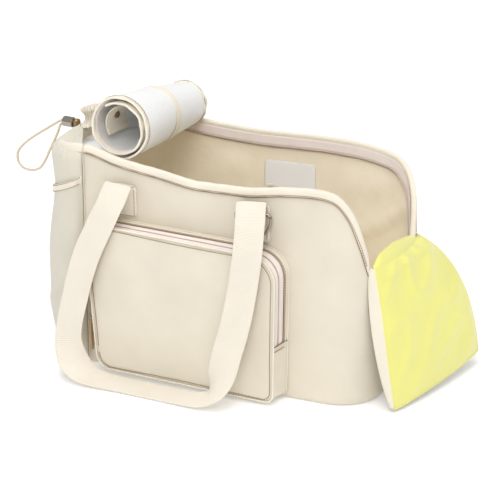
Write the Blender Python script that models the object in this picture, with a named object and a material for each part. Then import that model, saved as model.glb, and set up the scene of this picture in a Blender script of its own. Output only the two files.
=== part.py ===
"""Soft pet carrier bag: a padded fabric tub with a zipped front pocket, two webbing handles, a fold-down
end flap, a rolled-up mesh cover and a drawstring pouch on the closed end.

Metres, +Z up. The origin is the middle of the underside. +X runs to the end with the fold-down flap, and the
front wall, which has the zipped pocket, is at -Y.
"""

import math

import bmesh
import bpy
from mathutils import Matrix, Vector

# Tub
LENGTH = 0.434
WIDTH = 0.208
CORNER_RADIUS = 0.057
CORNER_SIDES = 9
PANEL = 0.003
LINING = 0.0015
GAP = 0.0003
BINDING_HEIGHT = 0.010
BINDING_OUT = 0.0012
UNDER_BINDING = 0.0010
BINDING_IN = 0.0064
WALL_FOOT = 0.0034
SILL = 0.168

# Straight half-lengths of the tub's plan and the whole way round it
HALF_STRAIGHT = LENGTH / 2 - CORNER_RADIUS
HALF_END = WIDTH / 2 - CORNER_RADIUS
CORNER_ARC = CORNER_RADIUS * math.pi / 2
PERIMETER = 4 * (HALF_STRAIGHT + HALF_END + CORNER_ARC)
END_MIDDLE = HALF_STRAIGHT + CORNER_ARC + HALF_END

# Rim heights: (distance along the wall from x = 0, height). The front and back walls drop to the sill
# round the +X corners.
FRONT_RIM = (
    (-END_MIDDLE, 0.2805), (-0.215, 0.283), (-0.161, 0.289), (-0.111, 0.277), (-0.054, 0.268),
    (0.000, 0.260), (0.055, 0.260), (0.105, 0.266), (0.145, 0.2685), (0.172, 0.2645), (0.188, 0.250),
    (0.2006, 0.227), (0.2107, 0.197), (0.2165, 0.182), (0.226, 0.171), (0.240, SILL), (END_MIDDLE, SILL),
)
BACK_RIM = (
    (-END_MIDDLE, 0.2805), (-0.215, 0.283), (-0.161, 0.289), (-0.120, 0.284), (-0.070, 0.279),
    (0.000, 0.2755), (0.063, 0.276), (0.126, 0.273), (0.162, 0.2665), (0.186, 0.258), (0.2063, 0.2423),
    (0.220, 0.225), (0.2315, 0.203), (0.240, 0.184), (0.248, 0.172), (0.258, SILL), (END_MIDDLE, SILL),
)
LEFT_SEAM = -0.160
FRONT_DROP_END = 0.2155
BACK_DROP_END = 0.2465

# Webbing
WEB_WIDTH = 0.038
WEB_THICKNESS = 0.0022
HANDLE_LEFT_X = -0.1055
HANDLE_RIGHT_X = 0.0715
HANDLE_PIVOT = (0.0, -0.1150, 0.2440)
BASE_TOP = 0.2465
BASE_FOOT_LEFT = 0.2035
BASE_FOOT_RIGHT = 0.1945

# The front handle's middle line, from the left base to the right one, and the way its width points
HANDLE_KNOTS = (
    ((-0.1055, -0.1150, 0.2480), (1.0, 0.0, 0.0)), ((-0.1062, -0.1195, 0.2440), (1.0, 0.0, 0.0)),
    ((-0.1084, -0.1270, 0.2321), (1.0, 0.0, 0.0)), ((-0.1136, -0.1335, 0.2168), (1.0, -0.1, 0.0)),
    ((-0.1258, -0.1380, 0.1897), (1.0, -0.1, 0.0)), ((-0.1379, -0.1405, 0.1629), (1.0, -0.1, 0.0)),
    ((-0.1477, -0.1425, 0.1333), (1.0, -0.1, 0.0)), ((-0.1563, -0.1445, 0.0998), (1.0, -0.1, 0.0)),
    ((-0.1620, -0.1470, 0.0729), (1.0, -0.1, 0.0)), ((-0.1632, -0.1505, 0.0480), (1.0, 0.0, 0.0)),
    ((-0.1550, -0.1560, 0.0265), (0.9, 0.4, 0.0)), ((-0.1370, -0.1600, 0.0125), (0.5, 0.85, 0.1)),
    ((-0.1150, -0.1590, 0.0062), (0.1, 1.0, 0.1)), ((-0.0850, -0.1570, 0.0038), (0.0, 1.0, 0.05)),
    ((-0.0560, -0.1575, 0.0032), (0.0, 1.0, 0.05)), ((-0.0270, -0.1585, 0.0032), (0.0, 1.0, 0.05)),
    ((0.0060, -0.1610, 0.0040), (0.0, 1.0, 0.05)), ((0.0320, -0.1635, 0.0098), (-0.3, 0.95, 0.1)),
    ((0.0450, -0.1620, 0.0240), (-0.8, 0.5, 0.0)), ((0.0522, -0.1590, 0.0431), (-1.0, 0.1, 0.0)),
    ((0.0570, -0.1555, 0.0669), (-1.0, 0.0, 0.0)), ((0.0620, -0.1520, 0.0872), (-1.0, 0.0, 0.0)),
    ((0.0675, -0.1485, 0.1136), (-1.0, 0.0, 0.0)), ((0.0716, -0.1455, 0.1405), (-1.0, 0.0, 0.0)),
    ((0.0750, -0.1430, 0.1669), (-1.0, 0.0, 0.0)), ((0.0770, -0.1395, 0.1929), (-1.0, 0.0, 0.0)),
    ((0.0764, -0.1325, 0.2192), (-1.0, 0.0, 0.0)), ((0.0740, -0.1245, 0.2345), (-1.0, 0.0, 0.0)),
    ((0.0722, -0.1190, 0.2435), (-1.0, 0.0, 0.0)), ((0.0715, -0.1150, 0.2480), (-1.0, 0.0, 0.0)),
)

# D-rings
RING_BAR = (HANDLE_RIGHT_X, -0.1103, 0.2325)
RING_HALF_WIDTH = 0.0225
RING_DROP = 0.0285
RING_WIRE = 0.0019
RING_TAB_WIDTH = 0.030
RING_TAB_TOP = 0.2380
RING_TAB_THICKNESS = 0.0012

# Front pocket
POCKET_DEPTH = 0.0300
POCKET_SKIN = 0.0025
POCKET_FACE_CORNERS = ((-0.132, 0.011), (0.107, 0.0045), (0.109, 0.186), (-0.146, 0.1985))
POCKET_WALL_CORNERS = ((-0.139, 0.0048), (0.113, 0.0045), (0.1155, 0.191), (-0.152, 0.2005))
POCKET_RADII = (0.020, 0.010, 0.032, 0.032)
CORNER_STEPS = 6
POCKET_ZIP_RIGHT = 0.42
POCKET_ZIP_LEFT = 0.84
SLIDER_DEPTH = 0.42
SLIDER_Z = 0.095
SLIDER_THICKNESS = 0.0040
LINK_WIRE = 0.0008

# End flap: Bezier control points of its near and far edges, from the fold to the free edge
FLAP_NEAR = ((0.2120, -0.0790, 0.1745), (0.2230, -0.0820, 0.1450), (0.2340, -0.0870, 0.0650), (0.2460, -0.0890, 0.0050))
FLAP_FAR = ((0.2120, 0.0760, 0.1700), (0.2560, 0.0765, 0.1560), (0.2850, 0.0900, 0.1050), (0.2915, 0.0990, 0.0180))
FLAP_START = 0.09
FLAP_BULGE = 0.0115
FLAP_LINING = 0.0016
FLAP_SHELL = 0.0028
FLAP_GUSSET = 0.0150
FLAP_HINGE = (0.2205, 0.0, 0.1700)
FOLD_CROWN = 0.0130

# Rolled cover
ROLL_CENTRE = (-0.1155, 0.3125)
ROLL_OUTER = 0.0400
ROLL_INNER = 0.0300
ROLL_TURNS = 1.6
ROLL_HALF_WIDTH = 0.0880
ROLL_SHEET = 0.0022
ROLL_BINDING_WIDTH = 0.0066
ROLL_BINDING_SHEET = 0.0034
ROLL_HINGE = (-0.1590, 0.0, 0.2735)
COVER_BASE_Z = 0.2700
COVER_BASE_INSET = 0.0086
BAND_WIDTH = 0.0120
BAND_SHEET = 0.0010
BAND_STEPS = 17
TAB_FIRST = 118
TAB_LAST = 212
TAB_RADIUS = 0.0245
TAB_WIDTH = 0.052
TAB_Y = -0.058
TAB_SHEET = 0.0016
SNAP_PROFILE = ((0.0, 0.0055), (0.0008, 0.0055), (0.0008, 0.0040), (0.0026, 0.0036))
PARKED_SLIDER = -0.1660
TAPE_SHEET = 0.0012

# Pouch and slip pocket on the closed end: (height, how far the pouch stands out)
POUCH_LEVELS = (
    (0.0060, 0.0045), (0.0200, 0.0105), (0.0400, 0.0150), (0.0800, 0.0190), (0.1300, 0.0190),
    (0.1700, 0.0145), (0.2000, 0.0088), (0.2130, 0.0078), (0.2400, 0.0100), (0.2650, 0.0108),
    (0.2750, 0.0090), (0.2800, 0.0050),
)
POUCH_BACK = BINDING_OUT + GAP
SLIP_POCKET_SKIN = 0.0022
HEM_SKIN = 0.0030
HEM_HEIGHT = 0.0100
HEM_MIDDLE_Z = 0.2130
HEM_SIDE_RISE = 0.037

# Drawstring
LOCK_LEFT = Vector((-0.2365, -0.020, 0.2912))
LOCK_AXIS = Vector((1.0, 0.0, -0.05)).normalized()
LOCK_RADIUS = 0.0068
LOCK_LENGTH = 0.0150
LOCK_BORE = 0.0040
LOCK_FLOOR = 0.0025
PLUNGER_STEM = 0.0055
PLUNGER_TRAVEL = 0.0030
PLUNGER_HEAD = 0.0030
NECK_SECTIONS = (
    ((-0.1975, -0.010, 0.2715), 0.0100, 0.036), ((-0.1975, -0.010, 0.2860), 0.0095, 0.032),
    ((-0.1975, -0.012, 0.2950), 0.0085, 0.022),
    ((-0.1975, -0.014, 0.3020), 0.0070, 0.013), ((-0.1965, -0.014, 0.3070), 0.0090, 0.019),
    ((-0.1960, -0.014, 0.3130), 0.0100, 0.025),
)
CORD_RADIUS = 0.0017
CORD_ROUTE = (
    (-0.2380, -0.0172, 0.2927), (-0.2457, -0.0180, 0.2889), (-0.2604, -0.0190, 0.2798),
    (-0.2753, -0.0197, 0.2704), (-0.2904, -0.0203, 0.2603), (-0.3016, -0.0207, 0.2504),
    (-0.3074, -0.0209, 0.2428), (-0.3087, -0.0211, 0.2357), (-0.3068, -0.0213, 0.2275),
    (-0.2992, -0.0215, 0.2211), (-0.2876, -0.0216, 0.2197), (-0.2777, -0.0217, 0.2224),
    (-0.2710, -0.0218, 0.2281), (-0.2650, -0.0219, 0.2370), (-0.2598, -0.0221, 0.2470),
    (-0.2540, -0.0223, 0.2580), (-0.2480, -0.0225, 0.2690), (-0.2430, -0.0227, 0.2795),
    (-0.2410, -0.0229, 0.2850), (-0.2383, -0.0229, 0.2884),
)

# Inside fittings
LABEL_X = 0.030
LABEL_Z = 0.2130
LABEL_WIDTH = 0.072
LABEL_HEIGHT = 0.048
TETHER_X = 0.006
TETHER_Z = 0.1940
TETHER_RADIUS = 0.0110

COLOURS = {
    "shell": ((0.80, 0.76, 0.66), 0.75, 0.0),
    "shell_light": ((0.85, 0.81, 0.72), 0.80, 0.0),
    "lining": ((0.80, 0.70, 0.53), 0.45, 0.0),
    "yellow": ((0.86, 0.84, 0.32), 0.45, 0.0),
    "webbing": ((0.90, 0.85, 0.75), 0.85, 0.0),
    "mesh": ((0.90, 0.90, 0.88), 0.70, 0.0),
    "zip_tape": ((0.84, 0.76, 0.72), 0.60, 0.0),
    "metal": ((0.70, 0.70, 0.70), 0.22, 1.0),
    "antique_metal": ((0.28, 0.20, 0.11), 0.35, 1.0),
    "leather": ((0.60, 0.45, 0.27), 0.55, 0.0),
    "board": ((0.20, 0.20, 0.20), 0.70, 0.0),
    "label": ((0.90, 0.90, 0.89), 0.60, 0.0),
    "cord": ((0.82, 0.78, 0.66), 0.80, 0.0),
}


def clear_scene():
    for obj in list(bpy.data.objects):
        bpy.data.objects.remove(obj, do_unlink=True)


def material(kind):
    """The named finish, made the first time that it is asked for."""
    found = bpy.data.materials.get(kind)
    if found:
        return found
    colour, roughness, metallic = COLOURS[kind]
    made = bpy.data.materials.new(kind)
    made.use_nodes = True
    shader = made.node_tree.nodes["Principled BSDF"]
    shader.inputs["Base Color"].default_value = (*colour, 1.0)
    shader.inputs["Roughness"].default_value = roughness
    shader.inputs["Metallic"].default_value = metallic
    return made


def add_object(name, bm, kind, pivot=(0, 0, 0), smooth_angle=40):
    """Makes an object of a bmesh in world coordinates, with its origin at pivot."""
    bmesh.ops.recalc_face_normals(bm, faces=bm.faces)
    bmesh.ops.translate(bm, verts=bm.verts, vec=-Vector(pivot))
    mesh = bpy.data.meshes.new(name)
    bm.to_mesh(mesh)
    bm.free()
    mesh.materials.append(material(kind))
    mesh.shade_smooth()
    mesh.set_sharp_from_angle(angle=math.radians(smooth_angle))
    obj = bpy.data.objects.new(name, mesh)
    obj.location = pivot
    bpy.context.scene.collection.objects.link(obj)
    return obj


def loft(name, rings, kind, closed=False, pivot=(0, 0, 0), smooth_angle=40):
    """One closed body through rings of equal point counts: capped at its ends, or joined end to end."""
    bm = bmesh.new()
    rows = [[bm.verts.new(Vector(point)) for point in ring] for ring in rings]
    pairs = list(zip(rows, rows[1:]))
    if closed:
        pairs.append((rows[-1], rows[0]))
    for one, other in pairs:
        for k in range(len(one)):
            after = (k + 1) % len(one)
            bm.faces.new((one[k], one[after], other[after], other[k]))
    if not closed:
        bm.faces.new(rows[0])
        bm.faces.new(rows[-1])
    bmesh.ops.triangulate(bm, faces=bm.faces, quad_method="SHORT_EDGE")
    return add_object(name, bm, kind, pivot, smooth_angle)


def plan_point(s, out=0.0):
    """The point at distance s round the tub's plan, from the front wall's middle towards +X, moved out by out."""
    radius = CORNER_RADIUS + out
    legs = (
        (HALF_STRAIGHT, Vector((0, -WIDTH / 2)), Vector((1, 0)), None),
        (CORNER_ARC, None, None, (Vector((HALF_STRAIGHT, -HALF_END)), -90)),
        (2 * HALF_END, Vector((LENGTH / 2, -HALF_END)), Vector((0, 1)), None),
        (CORNER_ARC, None, None, (Vector((HALF_STRAIGHT, HALF_END)), 0)),
        (2 * HALF_STRAIGHT, Vector((HALF_STRAIGHT, WIDTH / 2)), Vector((-1, 0)), None),
        (CORNER_ARC, None, None, (Vector((-HALF_STRAIGHT, HALF_END)), 90)),
        (2 * HALF_END, Vector((-LENGTH / 2, HALF_END)), Vector((0, -1)), None),
        (CORNER_ARC, None, None, (Vector((-HALF_STRAIGHT, -HALF_END)), 180)),
        (HALF_STRAIGHT, Vector((-HALF_STRAIGHT, -WIDTH / 2)), Vector((1, 0)), None),
    )
    left = s % PERIMETER
    for length, start, way, corner in legs:
        if left <= length + 1e-9:
            break
        left -= length
    if corner:
        centre, first = corner
        turn = math.radians(first + 90 * left / length)
        return centre + radius * Vector((math.cos(turn), math.sin(turn)))
    return start + left * way + out * Vector((way.y, -way.x))


def stations(first, last, spacing=0.020):
    """Distances from first to last, at the same places round the corners for every layer of the wall."""
    lengths = (HALF_STRAIGHT, CORNER_ARC, 2 * HALF_END, CORNER_ARC, 2 * HALF_STRAIGHT, CORNER_ARC, 2 * HALF_END,
               CORNER_ARC, HALF_STRAIGHT)
    found = [first]
    start = 0.0
    for length in lengths * 2:
        count = CORNER_SIDES if length == CORNER_ARC else math.ceil(length / spacing)
        for k in range(1, count + 1):
            for turn in (-PERIMETER, 0.0):
                place = start + turn + length * k / count
                if first + 0.001 < place < last - 0.001:
                    found.append(place)
        start += length
    return sorted({round(place, 7) for place in found}) + [last]


def through(knots, at):
    """The height at one distance of a smooth curve through knots, without overshoot."""
    slopes = []
    for k in range(len(knots)):
        before = knots[max(k - 1, 0)]
        after = knots[min(k + 1, len(knots) - 1)]
        slope = (after[1] - before[1]) / (after[0] - before[0])
        left = knots[k][1] - before[1]
        right = after[1] - knots[k][1]
        slopes.append(slope if left * right > 0 else 0.0)
    for k in range(len(knots) - 1):
        if at <= knots[k + 1][0]:
            break
    (x0, y0), (x1, y1) = knots[k], knots[k + 1]
    span = x1 - x0
    t = min(max((at - x0) / span, 0.0), 1.0)
    ease = t * t * (3 - 2 * t)
    bend = slopes[k] * span * t * (1 - t) ** 2 - slopes[k + 1] * span * t * t * (1 - t)
    return y0 + (y1 - y0) * ease + bend


def rim(s):
    """The rim's height at distance s round the plan."""
    s = (s + PERIMETER / 2) % PERIMETER - PERIMETER / 2
    if -END_MIDDLE <= s <= END_MIDDLE:
        return through(FRONT_RIM, s)
    return through(BACK_RIM, math.copysign(PERIMETER / 2, s) - s)


def back(q):
    """The distance round the plan of the point of the back wall that faces q on the front wall."""
    return PERIMETER / 2 - q


def below_rim(places, drop):
    """(s, z) of a line that runs below the rim, drop away from it even where it is steep."""
    found = []
    for s in places:
        slope = (rim(s + 0.001) - rim(s - 0.001)) / 0.002
        found.append((s, rim(s) - drop * math.hypot(1.0, slope)))
    return found


def at_wall(s, z, out):
    point = plan_point(s, out)
    return (point.x, point.y, z)


def wall_strip(name, lower, upper, outer, inner, kind, closed=False):
    """A closed strip on the wall between two (s, z) lines, from inner to outer away from the plan."""
    rings = []
    for (s0, z0), (s1, z1) in zip(lower, upper):
        rings.append((at_wall(s0, z0, outer), at_wall(s1, z1, outer), at_wall(s1, z1, inner), at_wall(s0, z0, inner)))
    return loft(name, rings, kind, closed)


def wall_panel(name, first, last, outer, inner, kind, foot=WALL_FOOT, drop=BINDING_HEIGHT + UNDER_BINDING):
    """A wall panel from the foot up to just under the binding."""
    upper = below_rim(stations(first, last), drop)
    return wall_strip(name, [(s, foot) for s, _ in upper], upper, outer, inner, kind)


def floor_plate(name, inset, low, high, kind, pivot=(0, 0, 0), edge=0.0):
    """A plate of the tub's plan. edge rounds its upper edge."""
    places = stations(0.0, PERIMETER, spacing=0.08)[:-1]
    levels = [(low, 0.0), (high - edge, 0.0), (high, edge)] if edge else [(low, 0.0), (high, 0.0)]
    rings = [[at_wall(s, z, -inset - more) for s in places] for z, more in levels]
    return loft(name, rings, kind, pivot=pivot)


def build_tub():
    floor_plate("base_panel", 0.0, 0.0, 0.0030, "shell")
    floor_plate("base_board", 0.0058, 0.0034, 0.0058, "board")
    floor_plate("base_mat", 0.0125, 0.0062, 0.0200, "lining", edge=0.004)
    wall_panel("front_panel", LEFT_SEAM, FRONT_DROP_END, 0.0, -PANEL, "shell")
    end_first, end_last = FRONT_DROP_END + GAP, back(BACK_DROP_END) - GAP
    sill_line = [(s, SILL) for s in stations(end_first, end_last)]
    wall_strip("end_wall", [(s, WALL_FOOT) for s, _ in sill_line], sill_line, 0.0, -PANEL, "shell")
    wall_panel("back_panel", back(BACK_DROP_END), back(LEFT_SEAM), 0.0, -PANEL, "shell")
    wall_panel("left_end_panel", back(LEFT_SEAM) + GAP, PERIMETER + LEFT_SEAM - GAP, 0.0, -PANEL, "shell")
    lining_top = below_rim(stations(0.0, PERIMETER)[:-1], BINDING_HEIGHT + 2 * UNDER_BINDING)
    wall_strip(
        "lining", [(s, WALL_FOOT) for s, _ in lining_top], lining_top,
        -PANEL - GAP, -PANEL - GAP - LINING, "lining", closed=True,
    )


def build_rim():
    spans = (
        ("rim_binding_front", LEFT_SEAM, FRONT_DROP_END),
        ("rim_binding_back", back(BACK_DROP_END), back(LEFT_SEAM)),
        ("rim_binding_left", back(LEFT_SEAM) + GAP, PERIMETER + LEFT_SEAM - GAP),
    )
    for name, first, last in spans:
        places = stations(first, last)
        upper, lower = below_rim(places, 0.0), below_rim(places, BINDING_HEIGHT)
        wall_strip(name, lower, upper, BINDING_OUT, -BINDING_IN, "shell_light")
    tape_outer, tape_inner = -BINDING_IN - GAP, -BINDING_IN - GAP - TAPE_SHEET
    for name, first, last in (
        ("zip_tape_front", -0.1740, 0.2110),
        ("zip_tape_back", back(0.2430), back(-0.1740)),
    ):
        places = stations(first, last)
        upper, lower = below_rim(places, 0.0080), below_rim(places, 0.0210)
        wall_strip(name, lower, upper, tape_outer, tape_inner, "zip_tape")


def rounded_outline(corners, radii, steps, inset=0.0):
    """The points of a polygon with rounded corners, steps + 1 to a corner, moved inwards by inset."""
    found = []
    for k, place in enumerate(corners):
        corner = Vector(place)
        to_before = (Vector(corners[k - 1]) - corner).normalized()
        to_after = (Vector(corners[(k + 1) % len(corners)]) - corner).normalized()
        half = to_before.angle(to_after) / 2
        centre = corner + (to_before + to_after).normalized() * radii[k] / math.sin(half)
        start = corner + to_before * radii[k] / math.tan(half) - centre
        start = start * (1 - inset / radii[k])
        turn = math.pi - 2 * half
        for j in range(steps + 1):
            found.append(centre + Matrix.Rotation(turn * j / steps, 2) @ start)
    return found


def pocket_point(index, depth, inset):
    """A point of the pocket's side wall. depth runs from 0 at the tub to 1 at the pocket's face."""
    corners = [Vector(w).lerp(Vector(f), depth) for w, f in zip(POCKET_WALL_CORNERS, POCKET_FACE_CORNERS)]
    outline = rounded_outline(corners, POCKET_RADII, CORNER_STEPS, inset)
    whole = int(index)
    here, after = outline[whole % len(outline)], outline[(whole + 1) % len(outline)]
    point = here.lerp(after, index - whole)
    return (point.x, -WIDTH / 2 - GAP - depth * POCKET_DEPTH, point.y)


def pocket_band(name, indices, kind):
    inner_end = 1 - (POCKET_SKIN + GAP) / POCKET_DEPTH
    corners = ((0.0, 0.0), (inner_end, 0.0), (inner_end, POCKET_SKIN), (0.0, POCKET_SKIN))
    rings = [[pocket_point(k, depth, inset) for depth, inset in corners] for k in indices]
    loft(name, rings, kind)


def build_pocket():
    per_corner = CORNER_STEPS + 1
    count = 4 * per_corner
    right_end = 2 * per_corner - 1 + POCKET_ZIP_RIGHT
    left_end = count - 1 + POCKET_ZIP_LEFT
    skin = POCKET_SKIN / POCKET_DEPTH
    rings = [[pocket_point(k, depth, 0.0) for k in range(count)] for depth in (1.0, 1.0 - skin)]
    loft("pocket_face", rings, "shell")
    pocket_band("pocket_zip_tape", [right_end, *range(2 * per_corner, count), left_end], "zip_tape")
    bottom = [left_end + 0.003, *range(count, count + 2 * per_corner), right_end - 0.003]
    pocket_band("pocket_gusset", bottom, "shell")


def box_rings(centre, along, across, up, sizes):
    """Two end sections of a box whose sizes are along, across and up."""
    along, across, up = Vector(along).normalized(), Vector(across).normalized(), Vector(up).normalized()
    rings = []
    for end in (-0.5, 0.5):
        middle = Vector(centre) + along * sizes[0] * end
        rings.append([
            middle + across * sizes[1] * a + up * sizes[2] * u
            for a, u in ((-0.5, -0.5), (0.5, -0.5), (0.5, 0.5), (-0.5, 0.5))
        ])
    return rings


def ring_sections(radius, sides, first=0.0):
    return [(radius * math.cos(first + 2 * math.pi * k / sides), radius * math.sin(first + 2 * math.pi * k / sides))
            for k in range(sides)]


def tube_loop(name, centres, radius, sides, kind, pivot, plane_normal):
    """A closed round wire through centres that lie in a plane."""
    normal = Vector(plane_normal).normalized()
    rings = []
    for k, centre in enumerate(centres):
        way = (Vector(centres[(k + 1) % len(centres)]) - Vector(centres[k - 1])).normalized()
        side = normal.cross(way)
        rings.append([Vector(centre) + side * a + normal * b for a, b in ring_sections(radius, sides)])
    return loft(name, rings, kind, closed=True, pivot=pivot, smooth_angle=60)


def turned(name, start, axis, profile, sides, kind, pivot=(0, 0, 0)):
    """A body turned about a line: profile is (distance along, radius) from one end to the other."""
    axis = Vector(axis).normalized()
    side = axis.orthogonal().normalized()
    other = axis.cross(side)
    rings = [
        [Vector(start) + axis * along + side * a + other * b for a, b in ring_sections(radius, sides)]
        for along, radius in profile
    ]
    return loft(name, rings, kind, pivot=pivot, smooth_angle=50)


def build_pocket_slider():
    """The pocket's slider on its left side, with a wire link and a leather tab that swing from it."""
    low, high = Vector(pocket_point(28.0, SLIDER_DEPTH, 0.0)), Vector(pocket_point(27.0, SLIDER_DEPTH, 0.0))
    way = (high - low).normalized()
    across = (Vector(pocket_point(27.5, 1.0, 0.0)) - Vector(pocket_point(27.5, 0.0, 0.0))).normalized()
    out = across.cross(way).normalized()
    on_tape = low + way * ((SLIDER_Z - low.z) / way.z)
    body = on_tape + out * (2 * GAP + SLIDER_THICKNESS / 2)
    loft("pocket_slider", box_rings(body, way, across, out, (0.0120, 0.0085, SLIDER_THICKNESS)), "metal")
    hinge = body + out * (SLIDER_THICKNESS / 2 + GAP + LINK_WIRE) + way * 0.0005
    wire = []
    for k in range(16):
        turn = 2 * math.pi * k / 16
        wire.append(hinge + Vector((0, 0.0034 * math.sin(turn), -0.0130 + 0.0130 * math.cos(turn))))
    tube_loop("pocket_pull_link", wire, LINK_WIRE, 8, "metal", hinge, (1, 0, 0))
    tab_top = hinge + Vector((0, 0, -0.0282))
    rings = []
    for drop, half in ((0.0, 0.0030), (0.004, 0.0042), (0.034, 0.0042), (0.041, 0.0020)):
        middle = tab_top + Vector((0, 0, -drop))
        rings.append([middle + Vector((x, y * half, 0)) for x, y in ((-0.0011, -1), (0.0011, -1), (0.0011, 1), (-0.0011, 1))])
    loft("pocket_pull_tab", rings, "leather", pivot=hinge)


def smooth_points(knots, per_span):
    """Points of a smooth curve through knots, which may hold any number of values each."""
    found = []
    for k in range(len(knots) - 1):
        p1, p2 = Vector(knots[k]), Vector(knots[k + 1])
        p0 = Vector(knots[k - 1]) if k else 2 * p1 - p2
        p3 = Vector(knots[k + 2]) if k + 2 < len(knots) else 2 * p2 - p1
        for j in range(per_span):
            t = j / per_span
            found.append(
                0.5 * (2 * p1 + (p2 - p0) * t + (2 * p0 - 5 * p1 + 4 * p2 - p3) * t * t
                       + (3 * p1 - p0 - 3 * p2 + p3) * t ** 3)
            )
    found.append(Vector(knots[-1]))
    return found


def strap_rings(centres, sides, width, thickness):
    """Sections of a flat strap through centres, whose width follows sides."""
    rings = []
    for k, centre in enumerate(centres):
        way = (centres[min(k + 1, len(centres) - 1)] - centres[max(k - 1, 0)]).normalized()
        side = (sides[k] - way * sides[k].dot(way)).normalized() * width / 2
        face = way.cross(side).normalized() * thickness / 2
        rings.append([centre - side - face, centre + side - face, centre + side + face, centre - side + face])
    return rings


def half_turn(point):
    """The place on the back that matches point on the front: half a turn about the handles' middle."""
    middle = HANDLE_LEFT_X + HANDLE_RIGHT_X
    return Vector((middle - point[0], -point[1], point[2]))


def build_handles():
    centres = smooth_points([knot[0] for knot in HANDLE_KNOTS], 2)
    sides = smooth_points([knot[1] for knot in HANDLE_KNOTS], 2)
    loft("front_handle", strap_rings(centres, sides, WEB_WIDTH, WEB_THICKNESS), "webbing", pivot=HANDLE_PIVOT)
    back_centres = [half_turn(centre) for centre in centres]
    back_sides = [Vector((-side.x, -side.y, side.z)) for side in sides]
    rings = strap_rings(back_centres, back_sides, WEB_WIDTH, WEB_THICKNESS)
    loft("back_handle", rings, "webbing", pivot=half_turn(HANDLE_PIVOT))
    for side, other, x, foot in (
        ("left", "right", HANDLE_LEFT_X, BASE_FOOT_LEFT),
        ("right", "left", HANDLE_RIGHT_X, BASE_FOOT_RIGHT),
    ):
        centre = (x, -WIDTH / 2 - GAP - WEB_THICKNESS / 2, (foot + BASE_TOP) / 2)
        sizes = (BASE_TOP - foot, WEB_WIDTH, WEB_THICKNESS)
        rings = box_rings(centre, (0, 0, 1), (1, 0, 0), (0, 1, 0), sizes)
        loft(f"front_handle_base_{side}", rings, "webbing")
        loft(f"back_handle_base_{other}", [[half_turn(p) for p in ring] for ring in rings], "webbing")


def build_strap_rings():
    """A D-shaped ring in a webbing loop under one handle base on the front and one on the back."""
    bar = Vector(RING_BAR)
    wire = [bar + Vector((RING_HALF_WIDTH * share, 0, 0)) for share in (-0.85, 0.0, 0.85)]
    for k in range(15):
        turn = math.pi * (k + 0.5) / 15
        wire.append(bar + Vector((RING_HALF_WIDTH * math.cos(turn), 0, -RING_DROP * math.sin(turn) ** 0.8)))
    wall_side = -WIDTH / 2 - 2 * GAP - WEB_THICKNESS - RING_TAB_THICKNESS / 2
    reach = wall_side - bar.y
    rise = RING_TAB_TOP - bar.z
    strap = [bar + Vector((0, reach, rise))]
    for k in range(9):
        turn = math.pi * k / 8
        strap.append(bar + Vector((0, reach * math.cos(turn), -reach * math.sin(turn))))
    strap.append(bar + Vector((0, -reach, rise)))
    tab = strap_rings(strap, [Vector((1, 0, 0))] * len(strap), RING_TAB_WIDTH, RING_TAB_THICKNESS)
    for side, place in (("front", Vector), ("back", half_turn)):
        tube_loop(f"{side}_d_ring", [place(p) for p in wire], RING_WIRE, 8, "metal", place(bar), (0, 1, 0))
        loft(f"{side}_ring_tab", [[place(p) for p in ring] for ring in tab], "webbing")


def arch(share, power):
    """Rises from 0 to 1 and falls back to 0 as share runs from 0 to 1; a low power makes it flat-topped."""
    return max(math.sin(math.pi * min(max(share, 0.0), 1.0)), 0.0) ** power


def bezier(points, t):
    p0, p1, p2, p3 = (Vector(p) for p in points)
    return p0 * (1 - t) ** 3 + 3 * p1 * t * (1 - t) ** 2 + 3 * p2 * t * t * (1 - t) + p3 * t ** 3


def flap_point(across, down):
    """The flap's outer face: across runs from its near edge to its far one, down from the fold to the free edge."""
    near, far = bezier(FLAP_NEAR, down), bezier(FLAP_FAR, down)
    bulge = FLAP_BULGE * arch(across, 0.6) * (1 - 0.45 * down)
    return near.lerp(far, across) + Vector((bulge, 0, 0))


def flap_normal(across, down):
    step = 0.01
    along = flap_point(min(across + step, 1), down) - flap_point(max(across - step, 0), down)
    drop = flap_point(across, min(down + step, 1)) - flap_point(across, max(down - step, 0))
    return drop.cross(along).normalized()


def flap_sheet(name, outer, inner, kind, columns=8, rows=10):
    """A layer of the flap between two depths under its outer face."""
    downs = [FLAP_START + (1 - FLAP_START) * k / rows for k in range(rows + 1)]
    rings = []
    for down in downs:
        shares = [k / columns for k in range(columns + 1)]
        front = [flap_point(a, down) - flap_normal(a, down) * outer for a in shares]
        behind = [flap_point(a, down) - flap_normal(a, down) * inner for a in reversed(shares)]
        rings.append(front + behind)
    loft(name, rings, kind, pivot=FLAP_HINGE)


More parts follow.
